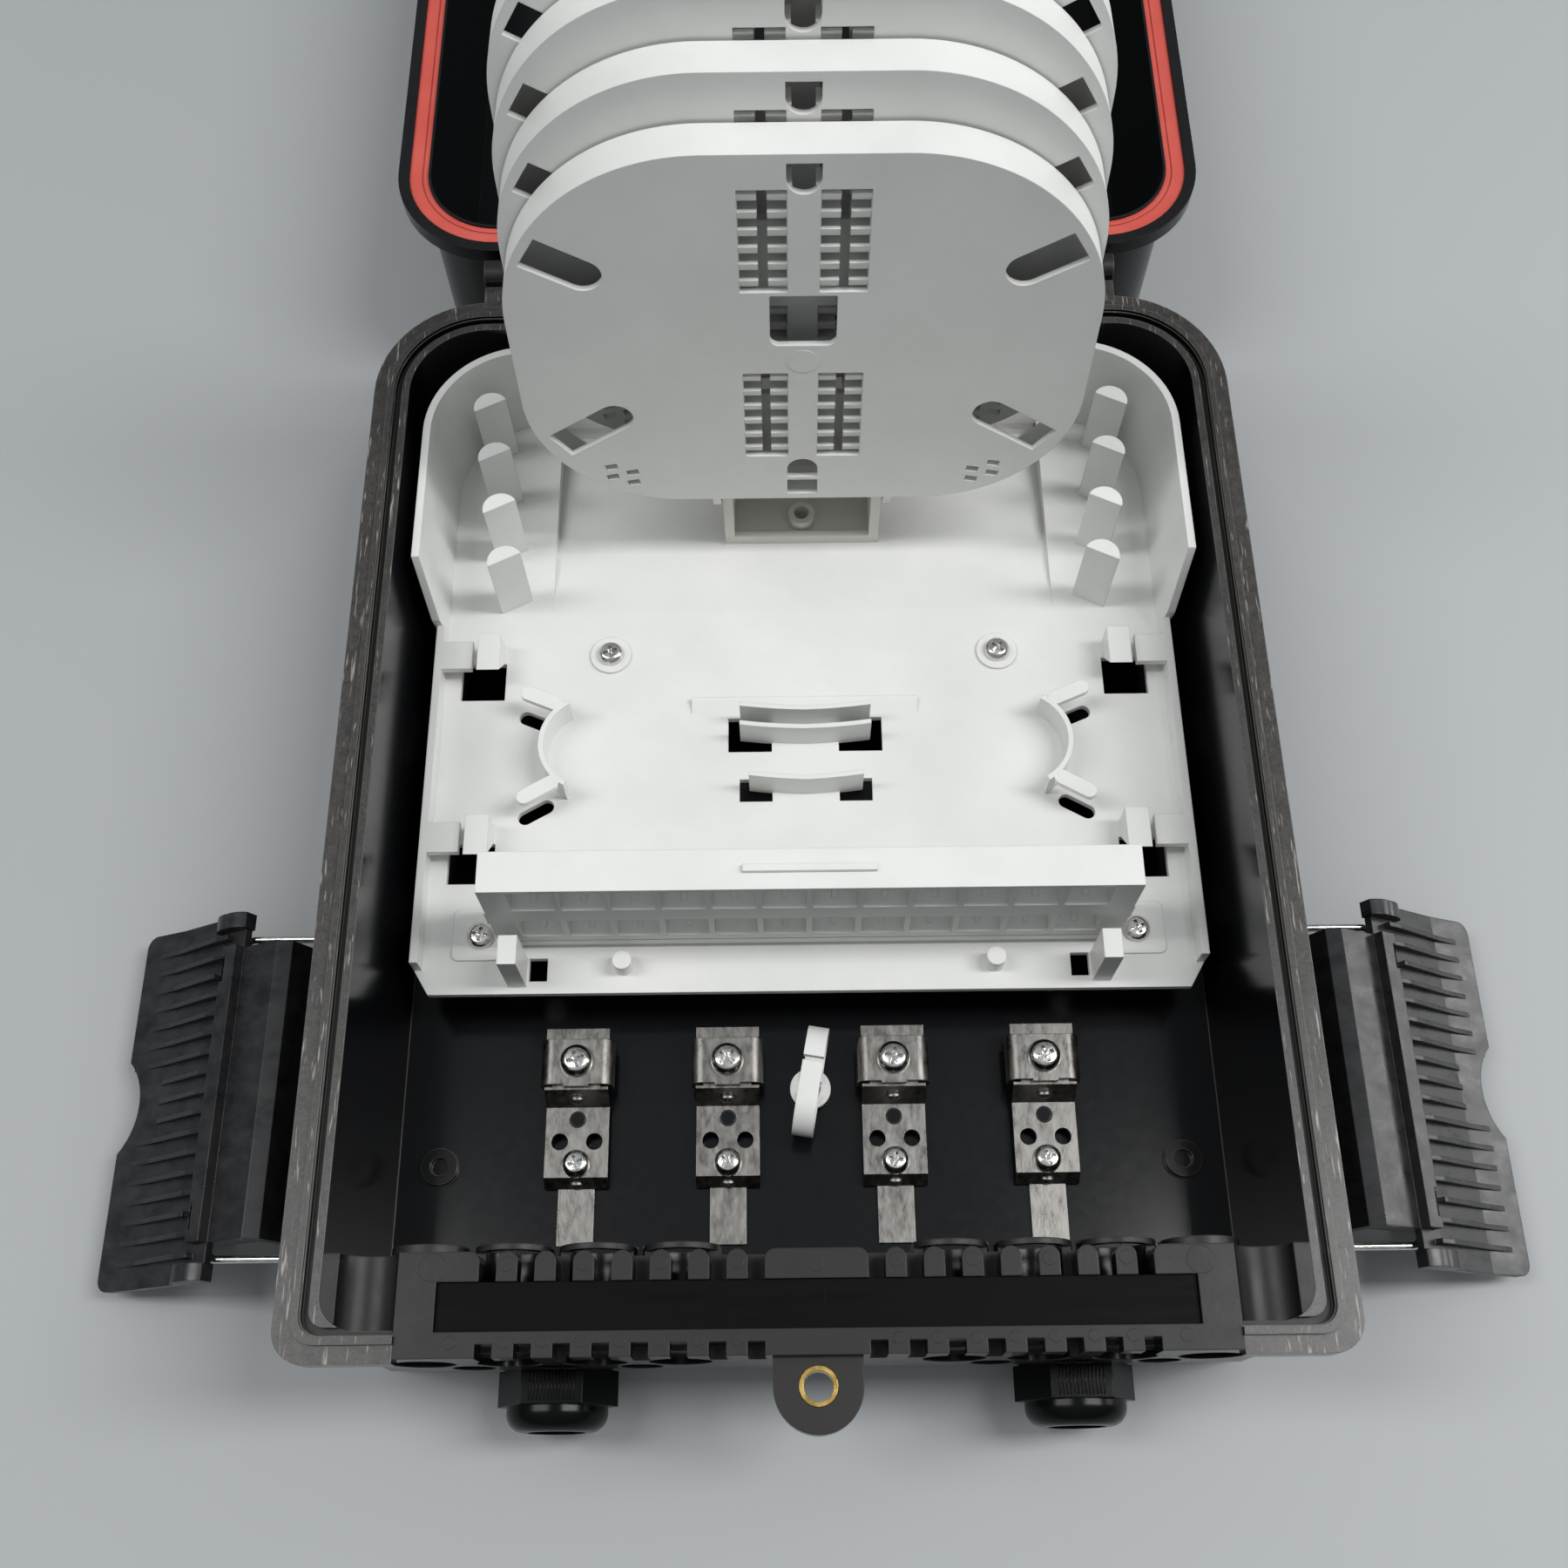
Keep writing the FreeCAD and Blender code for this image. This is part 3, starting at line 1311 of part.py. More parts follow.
def make_screws():
    core = dim("screw_core") - 0.1
    spots = list(plate_post_spots())
    heads = [dim("plate_top") + (0.8 if i % 2 == 0 else 0.6) for i in range(len(spots))]
    screw_group(
        "plate_screws", [(x, y, z) for (x, y), z in zip(spots, heads)], Size.of(3.8), Size.of(2.4),
        core, Size.of(14))
    table = floor_top + dim("strap_rise") + dim("strap_sheet")
    screw_group(
        "cable_bracket_screws", [(x, -STRAP_SCREW, table) for x in strap_centres], Size.of(3.8),
        Size.of(2.6), core,
        dim("strap_rise") + dim("strap_sheet") - 0.3)
    saddle_top = table + dim("saddle_rise") + dim("saddle_gap") + dim("strap_sheet")
    screw_group(
        "saddle_screws", [(x, -SADDLE_SCREW, saddle_top) for x in strap_centres], Size.of(4.5),
        Size.of(3.0), core + 0.3,
        Size.of(9))
    clip_top = floor_top + 1.5 + 1.6
    screw_group(
        "clip_screw", [(0, -dim("clip_place"), clip_top)], Size.of(3.0), Size.of(1.6), core, Size.of(4.6))
    boss_y = dim("tray_axis_place") + dim("bracket_boss")
    run = dim("plate_far") - dim("plate_sheet") - dim("crease")
    first_y = dim("tray_axis_place") - dim("bracket_nose")
    near_z = dim("plate_top") - dim("ramp_fall") * (first_y - dim("crease")) / run
    screw_group(
        "bracket_screw", [(0, boss_y, near_z + 2)], Size.of(1.9), Size.of(0.8), Size.of(1.4), Size.of(2.4))


def make_clip():
    # loop of the clip stands on a round foot and turns about its screw
    clip = Piece("fibre_clip")
    half = dim("clip_length") / 2
    high = dim("clip_height")
    skin = dim("clip_wall")
    width = dim("clip_width") / 2
    radius = high / 2
    inner = radius - skin
    low = 1.6
    loop = slot(radius - half, half - radius, radius + low - 0.4, radius)
    hollow = slot(radius - half, half - radius, radius + low - 0.4, inner)
    clip.pad("XY", [circle(0, 0, dim("clip_foot"))], 0, 1.6)
    clip.pad("YZ", [loop, hollow], -width, width)
    clip.pocket("YZ", [rect(half - radius - 3, high - 2, half - radius - 1.6, high + 4)], -width - 1,
        width + 1)
    clip.pocket("XY", [circle(0, 0, 3.2)], 1.6, 6.0)
    clip.pocket("XY", [circle(0, 0, dim("screw_core") + 0.1)], -1, 3)
    clip.place(0, -dim("clip_place"), floor_top + 1.5, face_turn((0, 0, 1), -DIMENSIONS["clip_turn"]))


def make_bails():
    # wire loop: short inturned ends in the lugs, two legs and the rod that carries the handle
    bend = dim("bail_bend")
    low, high = latch_ends()
    end = dim("bail_end") + dim("bail_wire") * 2
    for word, side in (("left", -1), ("right", 1)):
        bail = Piece(f"latch_bail_{word}")
        x0 = dim("latch_pivot") * side
        x1 = (dim("latch_pivot") + dim("bail_length")) * side
        step = bend * side
        route = [
            (x0, low + end), (x0, low + bend), (x0 + step, low, bend, side), (x1 - step, low),
            (x1, low + bend, bend, side), (x1, high - bend), (x1 - step, high, bend, side),
            (x0 + step, high),
            (x0, high - bend, bend, side), (x0, high - end),
        ]
        spine = bail.body.newObject("Sketcher::SketchObject", bail.name("route"))
        spine.AttachmentSupport = (bail.origin("XY_Plane"), [""])
        spine.MapMode = "FlatFace"
        spine.AttachmentOffset = Placement(Vector(0, 0, dim("latch_height").value), Rotation())
        spine.setExpression("AttachmentOffset.Base.z", dim("latch_height").text)
        draw(spine, [route], closed=False)
        section = bail.sketch("XZ", low + end, [circle(x0, dim("latch_height"), dim("bail_wire"))])
        pipe = bail.body.newObject("PartDesign::AdditivePipe", bail.name("wire"))
        pipe.Profile = section
        pipe.Spine = spine
        bail.body.Tip = pipe


def window_spots(side, bar, hub):
    # two openings beside the rail near the ends of the barrel, where the rod shows
    for way in (-1, 1):
        y0 = (bar - 3) * way
        y1 = (bar - 10) * way
        x0 = 0.2 * side
        x1 = hub * 1.3 * side
        yield (min_size(x0, x1), min_size(y0, y1), max_size(x0, x1), max_size(y0, y1))


def min_size(a, b):
    return a if Size.of(a).value < Size.of(b).value else b


def max_size(a, b):
    return a if Size.of(a).value > Size.of(b).value else b


def make_handles():
    # section across the handle: p runs out along the plate from the rod, q towards the ribbed face
    play = dim("running_play")
    hub = dim("hub_radius")
    length = dim("handle_length") / 2
    reach = dim("handle_reach")
    claw = dim("claw_height")
    for word, side in (("left", -1), ("right", 1)):
        handle = Piece(f"latch_handle_{word}")
        under = dim("bail_wire") + dim("handle_play")
        face = under + dim("handle_sheet")
        crease = reach * 0.62
        plate = [
            (-hub, under), (hub, under), (crease, under - dim("handle_crown")), (reach, under),
            (reach, face),
            (crease, face - dim("handle_crown")), (hub, face), (-hub, face),
        ]
        arm = [
            (0, hub), (-claw, hub), (-claw - 3, hub - 3), (-claw - 3, -dim("claw_reach")),
            (-claw, -dim("claw_reach") - 0.6), (-claw, 0.4 - hub), (0, 0.4 - hub),
        ]
        sections = [[(Size.of(p) * side, q) for p, q in outline] for outline in (plate, arm)]
        handle.pad("XZ", [sections[0]], -length, length)
        bar = dim("bail_span") / 2 - dim("bail_bend") - 1
        handle.pad("XZ", [sections[1]], -bar, bar)
        handle.pad("XZ", [circle(0, 0, hub)], -bar, bar)
        handle.pocket("XZ", [circle(0, 0, dim("bail_wire") + play)], -bar - 1, bar + 1)
        # finger notch in the free edge
        notch_x = (reach + dim("notch_radius") - dim("notch_depth")) * side
        handle.pocket("XY", [circle(notch_x, 0, dim("notch_radius"))], -8, 8)
        high = dim("rib_height")
        sink = dim("handle_crown")
        rib = [
            (hub * 0.3 * side, face - 0.6), (reach * 0.96 * side, face - 0.6),
            (crease * side, face - sink + high * 0.45),
            (hub * 1.6 * side, face + high), (hub * 0.3 * side, face + high),
        ]
        short = [
            (hub * 0.3 * side, face - 0.6), (crease * 1.05 * side, face - sink - 0.4),
            (crease * side, face - sink + high * 0.3), (hub * 1.6 * side, face + high),
            (hub * 0.3 * side, face + high),
        ]
        pitch = dim("rib_pitch")
        half_rib = dim("rib_width") / 2
        for outline, start, count in ((rib, -8, 7), (short, -1, 3), (rib, 2, 7)):
            first = pitch * start
            ridge = handle.pad("XZ", [outline], first - half_rib, first + half_rib)
            handle.repeat(ridge, "Y_Axis", pitch, count)
        # barrel wall over the rod and the rail that closes the pockets between the ribs
        rail = [(-hub * side, face - 0.5), (hub * 0.4 * side, face - 0.5),
            (hub * 0.4 * side, face + high + 0.6),
                (-hub * side, face + high + 0.6)]
        handle.pad("XZ", [rail], -bar, bar)
        eye = [rect(*ends) for ends in window_spots(side, bar, hub)]
        handle.pocket("XY", eye, 0, face + high + 1)
        lug = [
            (-hub * 1.3 * side, under), (hub * 2 * side, under), (hub * 2 * side, face + high * 0.6),
            (hub * 0.4 * side, face + high * 1.3, hub * 2, side),
            (-hub * 1.3 * side, face + high * 0.6, hub * 2, side),
        ]
        lug_in = dim("bail_span") / 2 + dim("bail_wire") + 0.6
        handle.pad("XZ", [lug], lug_in, length)
        handle.pad("XZ", [lug], -length, -lug_in)
        trim = dim("handle_corner")
        edge = reach * side
        for way in (-1, 1):
            corner = [
                (edge - trim * side, length * way), (edge, (length - trim) * way, trim, -side * way),
                (edge + side, (length - trim) * way), (edge + side, (length + 1) * way),
                (edge - trim * side, (length + 1) * way),
            ]
            handle.pocket("XY", [corner], -8, 8)
        rod = (dim("latch_pivot") + dim("bail_length")) * side
        tilt = face_turn((0, side, 0), DIMENSIONS["handle_tilt"])
        handle.place(rod, -dim("latch_place"), dim("latch_height"), tilt)
        handle.body.setExpression("Placement.Rotation.Angle", "Sizes.handle_tilt")


make_base()
make_lid()
make_gasket()
make_hinge_pin()
make_seal_strips()
make_bush()
make_glands()
make_splice_plate()
make_adapter_panel()
make_tray_bracket()
make_trays()
make_cable_brackets()
make_saddles()
make_screws()
make_clip()
make_bails()
make_handles()

doc.recompute()
failed = [item.Name for item in doc.Objects if {"Invalid", "Error"} & set(item.State)]
if failed:
    raise RuntimeError(f"features that did not build: {failed}")

for piece in pieces:
    if piece.Shape.isNull() or not piece.Shape.isValid():
        raise RuntimeError(f"{piece.Label} has no valid shape")

os.makedirs("parts", exist_ok=True)
for piece in pieces:
    piece.Shape.exportStep(f"parts/{piece.Label}.step")
print(len(pieces), "pieces written")
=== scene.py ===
import bpy
import bmesh
import json
import math
from mathutils import Matrix, Vector


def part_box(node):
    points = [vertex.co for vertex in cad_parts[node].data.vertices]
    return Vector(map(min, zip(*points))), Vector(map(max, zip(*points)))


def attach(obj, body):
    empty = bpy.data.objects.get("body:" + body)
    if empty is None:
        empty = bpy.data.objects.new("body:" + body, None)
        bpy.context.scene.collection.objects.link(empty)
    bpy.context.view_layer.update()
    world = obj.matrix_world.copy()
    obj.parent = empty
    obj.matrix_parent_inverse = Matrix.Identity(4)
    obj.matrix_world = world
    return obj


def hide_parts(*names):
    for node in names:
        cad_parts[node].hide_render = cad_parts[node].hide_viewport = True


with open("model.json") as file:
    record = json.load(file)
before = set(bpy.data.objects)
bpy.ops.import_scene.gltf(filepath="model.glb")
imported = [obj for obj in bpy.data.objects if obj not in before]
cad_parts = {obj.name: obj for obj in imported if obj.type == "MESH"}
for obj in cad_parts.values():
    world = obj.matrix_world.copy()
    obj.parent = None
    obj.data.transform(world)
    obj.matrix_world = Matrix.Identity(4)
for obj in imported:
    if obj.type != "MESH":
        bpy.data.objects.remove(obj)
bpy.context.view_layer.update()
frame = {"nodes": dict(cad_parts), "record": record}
mm = 0.001
print("frame loaded:", len(frame["nodes"]), "nodes")


def linear(hexCode):  # sRGB hex to linear colour
    parts = [int(hexCode[i:i + 2], 16) / 255 for i in (1, 3, 5)]
    lit = [c / 12.92 if c <= 0.04045 else ((c + 0.055) / 1.055) ** 2.4 for c in parts]
    return tuple(lit) + (1.0,)


# a setting is an attribute or an input of the node, a link joins an output socket to an input
def addNode(tree, kind, settings=None, links=None):
    node = tree.nodes.new(kind)
    for key, value in (settings or {}).items():
        if isinstance(key, str) and hasattr(node, key):
            setattr(node, key, value)
        else:
            node.inputs[key].default_value = value
    for key, socket in (links or {}).items():
        tree.links.new(socket, node.inputs[key])
    return node


def startMaterial(name, settings):
    material = bpy.data.materials.new(name)
    material.use_nodes = True
    tree = material.node_tree
    shader = tree.nodes["Principled BSDF"]
    for key, value in settings.items():
        shader.inputs[key].default_value = value
    return material, tree, shader


def patternsPerMetre(sizeInMm):  # noise scale whose features are about this size
    return 1000 / sizeInMm


# ABS moulded in a polished tool: near black and mirror-like on the floor and walls, satin on
# the raised tops, whose upward faces also get a paler tone as a painted sheen, rubbed to a sandy
# grey on the rim that the gasket closes on; lengths in mm
blackShellLooks = {
    "base_shell": {
        "name": "mouldedBlackAbs", "base": "#0b0c0e", "paintedSheen": "#242322",
        "rubbed": "#464340", "dull": "#222120", "scratch": "#a39e97",
        "polish": 0.17, "specular": 0.32, "satinRoughness": 0.4, "rubbedRoughness": 0.36,
        "film": {"roughness": 0.36, "ior": 1.3},
        "rimHeight": 63.0, "rimReach": 1.5, "satinHeight": 50.0,
        "scuffLength": 3.0, "grain": 0.6, "scratchWidth": 0.7, "wear": 0.8},
    "entry_head": {
        "name": "mouldedBlackAbsHead", "base": "#101112", "paintedSheen": "#2b2a29",
        "rubbed": "#2b2a29", "dull": "#2b2a29", "scratch": "#5c5955",
        "polish": 0.22, "specular": 0.28, "satinRoughness": 0.4, "rubbedRoughness": 0.4,
        "rimHeight": 90.0, "rimReach": 1.5, "satinHeight": 50.0,
        "scuffLength": 7.0, "grain": 0.9, "scratchWidth": 0.7, "wear": 0.6},
    "lid_shell": {
        "name": "mouldedBlackAbsLid", "base": "#0a0b0c", "paintedSheen": "#101011",
        "rubbed": "#1a1a1b", "dull": "#121213", "scratch": "#2c2c2c",
        "polish": 0.2, "specular": 0.2, "satinRoughness": 0.36, "rubbedRoughness": 0.36,
        "rimHeight": 63.0, "rimReach": 1.5, "satinHeight": 50.0,
        "scuffLength": 7.0, "grain": 0.9, "scratchWidth": 0.7, "wear": 0.25},
}
# what the three shells share; lengths in mm, the slant in degrees
shellRecipe = {
    "ior": 1.5, "level": (0.35, 0.75), "cloudDetail": 6.0, "cloudRoughness": 0.65,
    "grainDetail": 3.0, "streakDetail": 2.0, "slant": 14.0, "streakStretch": 0.08,
    "sand": (0.72, 1.26), "streak": (0.62, 0.72), "edge": (0.99, 0.8), "edgeWear": 0.5,
    "edgeRadius": 0.5, "edgeSamples": 4, "haze": (0.05, 0.08), "satinHaze": (0.1, 0.12),
    "bump": 0.16, "bumpDepth": 0.2,
}


def makeBlackShell(look):
    recipe = shellRecipe
    material, tree, shader = startMaterial(look["name"], {
        "IOR": recipe["ior"], "Roughness": look["polish"], "Specular IOR Level": look["specular"]})
    coords = addNode(tree, "ShaderNodeTexCoord")
    place = addNode(tree, "ShaderNodeSeparateXYZ", links={"Vector": coords.outputs["Object"]})
    facing = addNode(tree, "ShaderNodeSeparateXYZ", links={"Vector": coords.outputs["Normal"]})
    flat = addNode(tree, "ShaderNodeMapRange",
                   {"From Min": recipe["level"][0], "From Max": recipe["level"][1]},
                   {"Value": facing.outputs["Z"]})
    high = addNode(tree, "ShaderNodeMath",
                   {"operation": "COMPARE", 1: look["rimHeight"] * mm, 2: look["rimReach"] * mm},
                   {0: place.outputs["Z"]})
    raised = addNode(tree, "ShaderNodeMath",
                     {"operation": "GREATER_THAN", 1: look["satinHeight"] * mm},
                     {0: place.outputs["Z"]})
    rim = addNode(tree, "ShaderNodeMath", {"operation": "MULTIPLY"},
                  {0: high.outputs[0], 1: flat.outputs[0]})
    top = addNode(tree, "ShaderNodeMath", {"operation": "MULTIPLY"},
                  {0: raised.outputs[0], 1: flat.outputs[0]})

    cloud = addNode(tree, "ShaderNodeTexNoise",
                    {"Scale": patternsPerMetre(look["scuffLength"]),
                     "Detail": recipe["cloudDetail"], "Roughness": recipe["cloudRoughness"]},
                    {"Vector": coords.outputs["Object"]})
    grain = addNode(tree, "ShaderNodeTexNoise",
                    {"Scale": patternsPerMetre(look["grain"]), "Detail": recipe["grainDetail"]},
                    {"Vector": coords.outputs["Object"]})
    slant = addNode(tree, "ShaderNodeMapping",
                    {"Rotation": (0, 0, math.radians(recipe["slant"])),
                     "Scale": (1.0, recipe["streakStretch"], 1.0)},
                    {"Vector": coords.outputs["Object"]})
    streak = addNode(tree, "ShaderNodeTexNoise",
                     {"Scale": patternsPerMetre(look["scratchWidth"]),
                      "Detail": recipe["streakDetail"]},
                     {"Vector": slant.outputs["Vector"]})
    sand = addNode(tree, "ShaderNodeMath", {"operation": "ADD"},
                   {0: cloud.outputs["Fac"], 1: grain.outputs["Fac"]})
    rubbed = addNode(tree, "ShaderNodeMapRange",
                     {"From Min": recipe["sand"][0], "From Max": recipe["sand"][1]},
                     {"Value": sand.outputs[0]})
    scratched = addNode(tree, "ShaderNodeMapRange",
                        {"From Min": recipe["streak"][0], "From Max": recipe["streak"][1],
                         "To Max": look["wear"]},
                        {"Value": streak.outputs["Fac"]})

    # edges catch hands and tools, so they are rubbed too
    rounded = addNode(tree, "ShaderNodeBevel",
                      {"samples": recipe["edgeSamples"], "Radius": recipe["edgeRadius"] * mm})
    geometry = addNode(tree, "ShaderNodeNewGeometry")
    turn = addNode(tree, "ShaderNodeVectorMath", {"operation": "DOT_PRODUCT"},
                   {0: rounded.outputs["Normal"], 1: geometry.outputs["True Normal"]})
    edge = addNode(tree, "ShaderNodeMapRange",
                   {"From Min": recipe["edge"][0], "From Max": recipe["edge"][1],
                    "To Max": look["wear"] * recipe["edgeWear"]},
                   {"Value": turn.outputs["Value"]})

    # painted sheen: raised faces that point up get a paler tone standing in for the overhead light
    # they catch
    paintedSheen = addNode(tree, "ShaderNodeMix",
                    {"data_type": "RGBA", 6: linear(look["base"]), 7: linear(look["paintedSheen"])},
                    {"Factor": top.outputs[0]})
    sandy = addNode(tree, "ShaderNodeMix",
                    {"data_type": "RGBA", 6: linear(look["dull"]), 7: linear(look["rubbed"])},
                    {"Factor": rubbed.outputs["Result"]})
    worn = addNode(tree, "ShaderNodeMix", {"data_type": "RGBA"},
                   {"Factor": rim.outputs[0], 6: paintedSheen.outputs[2], 7: sandy.outputs[2]})
    marks = addNode(tree, "ShaderNodeMath", {"operation": "MULTIPLY"},
                    {0: scratched.outputs["Result"], 1: rim.outputs[0]})
    marked = addNode(tree, "ShaderNodeMath", {"operation": "MAXIMUM"},
                     {0: marks.outputs[0], 1: edge.outputs["Result"]})
    colour = addNode(tree, "ShaderNodeMix", {"data_type": "RGBA", 7: linear(look["scratch"])},
                     {"Factor": marked.outputs[0], 6: worn.outputs[2]})
    tree.links.new(colour.outputs[2], shader.inputs["Base Color"])

    haze = addNode(tree, "ShaderNodeMapRange",
                   {"To Min": look["polish"] - recipe["haze"][0],
                    "To Max": look["polish"] + recipe["haze"][1]},
                   {"Value": cloud.outputs["Fac"]})
    satinHaze = addNode(tree, "ShaderNodeMapRange",
                        {"To Min": look["satinRoughness"] - recipe["satinHaze"][0],
                         "To Max": look["satinRoughness"] + recipe["satinHaze"][1]},
                        {"Value": cloud.outputs["Fac"]})
    smoothTop = addNode(tree, "ShaderNodeMix", {"data_type": "FLOAT"},
                        {"Factor": top.outputs[0],
                         2: haze.outputs["Result"], 3: satinHaze.outputs["Result"]})
    rough = addNode(tree, "ShaderNodeMix", {"data_type": "FLOAT", 3: look["rubbedRoughness"]},
                    {"Factor": rim.outputs[0], 2: smoothTop.outputs[0]})
    tree.links.new(rough.outputs[0], shader.inputs["Roughness"])
    if "film" in look:  # the gasket leaves a thin film of silicone on the rim
        shader.inputs["Coat Roughness"].default_value = look["film"]["roughness"]
        shader.inputs["Coat IOR"].default_value = look["film"]["ior"]
        tree.links.new(rim.outputs[0], shader.inputs["Coat Weight"])
    grit = addNode(tree, "ShaderNodeMath", {"operation": "MULTIPLY"},
                   {0: grain.outputs["Fac"], 1: top.outputs[0]})
    bump = addNode(tree, "ShaderNodeBump",
                   {"Strength": recipe["bump"], "Distance": recipe["bumpDepth"] * mm},
                   {"Height": grit.outputs[0], "Normal": rounded.outputs["Normal"]})
    tree.links.new(bump.outputs["Normal"], shader.inputs["Normal"])
    return material


# moulded and rolled finishes share one recipe: a base tone, a paler tone in soft clouds, fine
# grain and softened edges; lengths in mm. Real grain is near 0.1 mm and would not show, so here
# and on the shells it is drawn as coarse as it needs to be
finishRecipe = {"ior": 1.5, "specular": 0.5, "cloudDetail": 5.0, "cloudRoughness": 0.6,
                "spread": (0.3, 0.7), "grainDetail": 2.0, "edgeSamples": 4, "bumpDepth": 0.2}
finishes = {
    # satin ABS, faintly warm
    "white_plastic": {
        "name": "mouldedWhiteAbs", "base": "#dddeda", "pale": "#e6e6e3",
        "roughness": 0.4, "vary": 0.05, "cloud": 30.0, "grain": 0.7, "bump": 0.03, "edge": 0.4},
    # nylon of the latch handles: satin, polished by fingers in patches across the ribs
    "black_handle": {
        "name": "mouldedBlackNylon", "base": "#17181a", "pale": "#2b2b2c",
        "roughness": 0.32, "vary": 0.1, "cloud": 5.0, "grain": 0.5, "bump": 0.07, "edge": 0.4,
        "stretch": (0.5, 1.0, 1.0)},
    # polished nylon of the cable glands
    "black_gland": {
        "name": "polishedBlackNylon", "base": "#030404", "pale": "#070808", "specular": 0.15,
        "roughness": 0.24, "vary": 0.05, "cloud": 15.0, "grain": 0.5, "bump": 0.03, "edge": 0.4},
    # extruded rubber: dull, dusty, faint marks along its length
    "black_rubber": {
        "name": "extrudedBlackRubber", "base": "#040405", "pale": "#0b0b0c", "specular": 0.08,
        "roughness": 0.5, "vary": 0.12, "cloud": 4.0, "grain": 0.6, "bump": 0.1, "edge": 0.4,
        "stretch": (0.12, 1.0, 1.0)},
    # cast silicone: even colour, soft sheen
    "red_silicone": {
        "name": "castRedSilicone", "base": "#c64e43", "pale": "#d05b50",
        "roughness": 0.5, "vary": 0.06, "cloud": 18.0, "grain": 0.8, "bump": 0.05, "edge": 0.4},
    # turned brass: bright, with fine turning marks
    "brass": {
        "name": "turnedBrass", "base": "#b08d45", "pale": "#d3b56c", "metallic": 1.0,
        "roughness": 0.28, "vary": 0.08, "cloud": 3.0, "grain": 0.4, "bump": 0.1, "edge": 0.2,
        "stretch": (1.0, 1.0, 4.0)},
    # zinc-bright screws, pin and wire
    "bright_steel": {
        "name": "brightZincSteel", "base": "#c4c3be", "pale": "#e4e3df", "metallic": 1.0,
        "roughness": 0.2, "vary": 0.08, "cloud": 2.0, "grain": 0.4, "bump": 0.1, "edge": 0.15},
    # rolled stainless sheet: mill grain along the strap, cloudy tumbling marks
    "stainless_sheet": {
        "name": "rolledStainlessSheet", "base": "#777571", "pale": "#999691", "metallic": 1.0,
        "roughness": 0.34, "vary": 0.1, "cloud": 1.8, "grain": 0.5, "bump": 0.14, "edge": 0.25,
        "stretch": (1.0, 0.4, 1.0)},
}
# the tray bracket is moulded in a slightly creamier ABS than the trays
bracketFinish = {
    "name": "mouldedIvoryAbs", "base": "#d2cfc7", "pale": "#dcd9d2",
    "roughness": 0.45, "vary": 0.05, "cloud": 20.0, "grain": 0.7, "bump": 0.03, "edge": 0.4}


def makeFinish(look):
    recipe = finishRecipe
    material, tree, shader = startMaterial(look["name"], {
        "IOR": recipe["ior"], "Metallic": look.get("metallic", 0.0), "Roughness": look["roughness"],
        "Specular IOR Level": look.get("specular", recipe["specular"])})
    coords = addNode(tree, "ShaderNodeTexCoord")
    stretch = addNode(tree, "ShaderNodeMapping", {"Scale": look.get("stretch", (1.0, 1.0, 1.0))},
                      {"Vector": coords.outputs["Object"]})
    cloud = addNode(tree, "ShaderNodeTexNoise",
                    {"Scale": patternsPerMetre(look["cloud"]),
                     "Detail": recipe["cloudDetail"], "Roughness": recipe["cloudRoughness"]},
                    {"Vector": stretch.outputs["Vector"]})
    spread = addNode(tree, "ShaderNodeMapRange",
                     {"From Min": recipe["spread"][0], "From Max": recipe["spread"][1]},
                     {"Value": cloud.outputs["Fac"]})
    colour = addNode(tree, "ShaderNodeMix",
                     {"data_type": "RGBA", 6: linear(look["base"]), 7: linear(look["pale"])},
                     {"Factor": spread.outputs["Result"]})
    tree.links.new(colour.outputs[2], shader.inputs["Base Color"])
    rough = addNode(tree, "ShaderNodeMapRange",
                    {"To Min": look["roughness"] - look["vary"],
                     "To Max": look["roughness"] + look["vary"]},
                    {"Value": spread.outputs["Result"]})
    tree.links.new(rough.outputs["Result"], shader.inputs["Roughness"])
    grain = addNode(tree, "ShaderNodeTexNoise",
                    {"Scale": patternsPerMetre(look["grain"]), "Detail": recipe["grainDetail"]},
                    {"Vector": stretch.outputs["Vector"]})
    rounded = addNode(tree, "ShaderNodeBevel",
                      {"samples": recipe["edgeSamples"], "Radius": look["edge"] * mm})
    bump = addNode(tree, "ShaderNodeBump",
                   {"Strength": look["bump"], "Distance": recipe["bumpDepth"] * mm},
                   {"Height": grain.outputs["Fac"], "Normal": rounded.outputs["Normal"]})
    tree.links.new(bump.outputs["Normal"], shader.inputs["Normal"])
    return material


materials = {slotName: makeFinish(look) for slotName, look in finishes.items()}
shellMaterials = {nodeName: makeBlackShell(look) for nodeName, look in blackShellLooks.items()}
ivory = makeFinish(bracketFinish)
print("materials made:", len(materials) + len(shellMaterials) + 1)

slotOfNode = {entry["node"]: entry["material_slot"] for entry in frame["record"]["subparts"]}
for nodeName, nodeObject in frame["nodes"].items():
    nodeObject.data.materials.clear()
    if nodeName in shellMaterials:
        nodeObject.data.materials.append(shellMaterials[nodeName])
    elif nodeName == "tray_bracket":
        nodeObject.data.materials.append(ivory)
    else:
        nodeObject.data.materials.append(materials[slotOfNode[nodeName]])
print("nodes painted:", len(slotOfNode))

sharpAngle = 38  # degrees between faces, past which an edge stays sharp


def finishPiece(name, mesh, body, slotName, standsFor=(), material=None):
    bmesh.ops.recalc_face_normals(mesh, faces=mesh.faces)
    data = bpy.data.meshes.new(name)
    mesh.to_mesh(data)
    mesh.free()
    data.shade_smooth()
    data.set_sharp_from_angle(angle=math.radians(sharpAngle))
    data.materials.append(material or materials[slotName])
    piece = bpy.data.objects.new(name, data)
    bpy.context.collection.objects.link(piece)
    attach(piece, body)
    if standsFor:
        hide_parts(*standsFor)


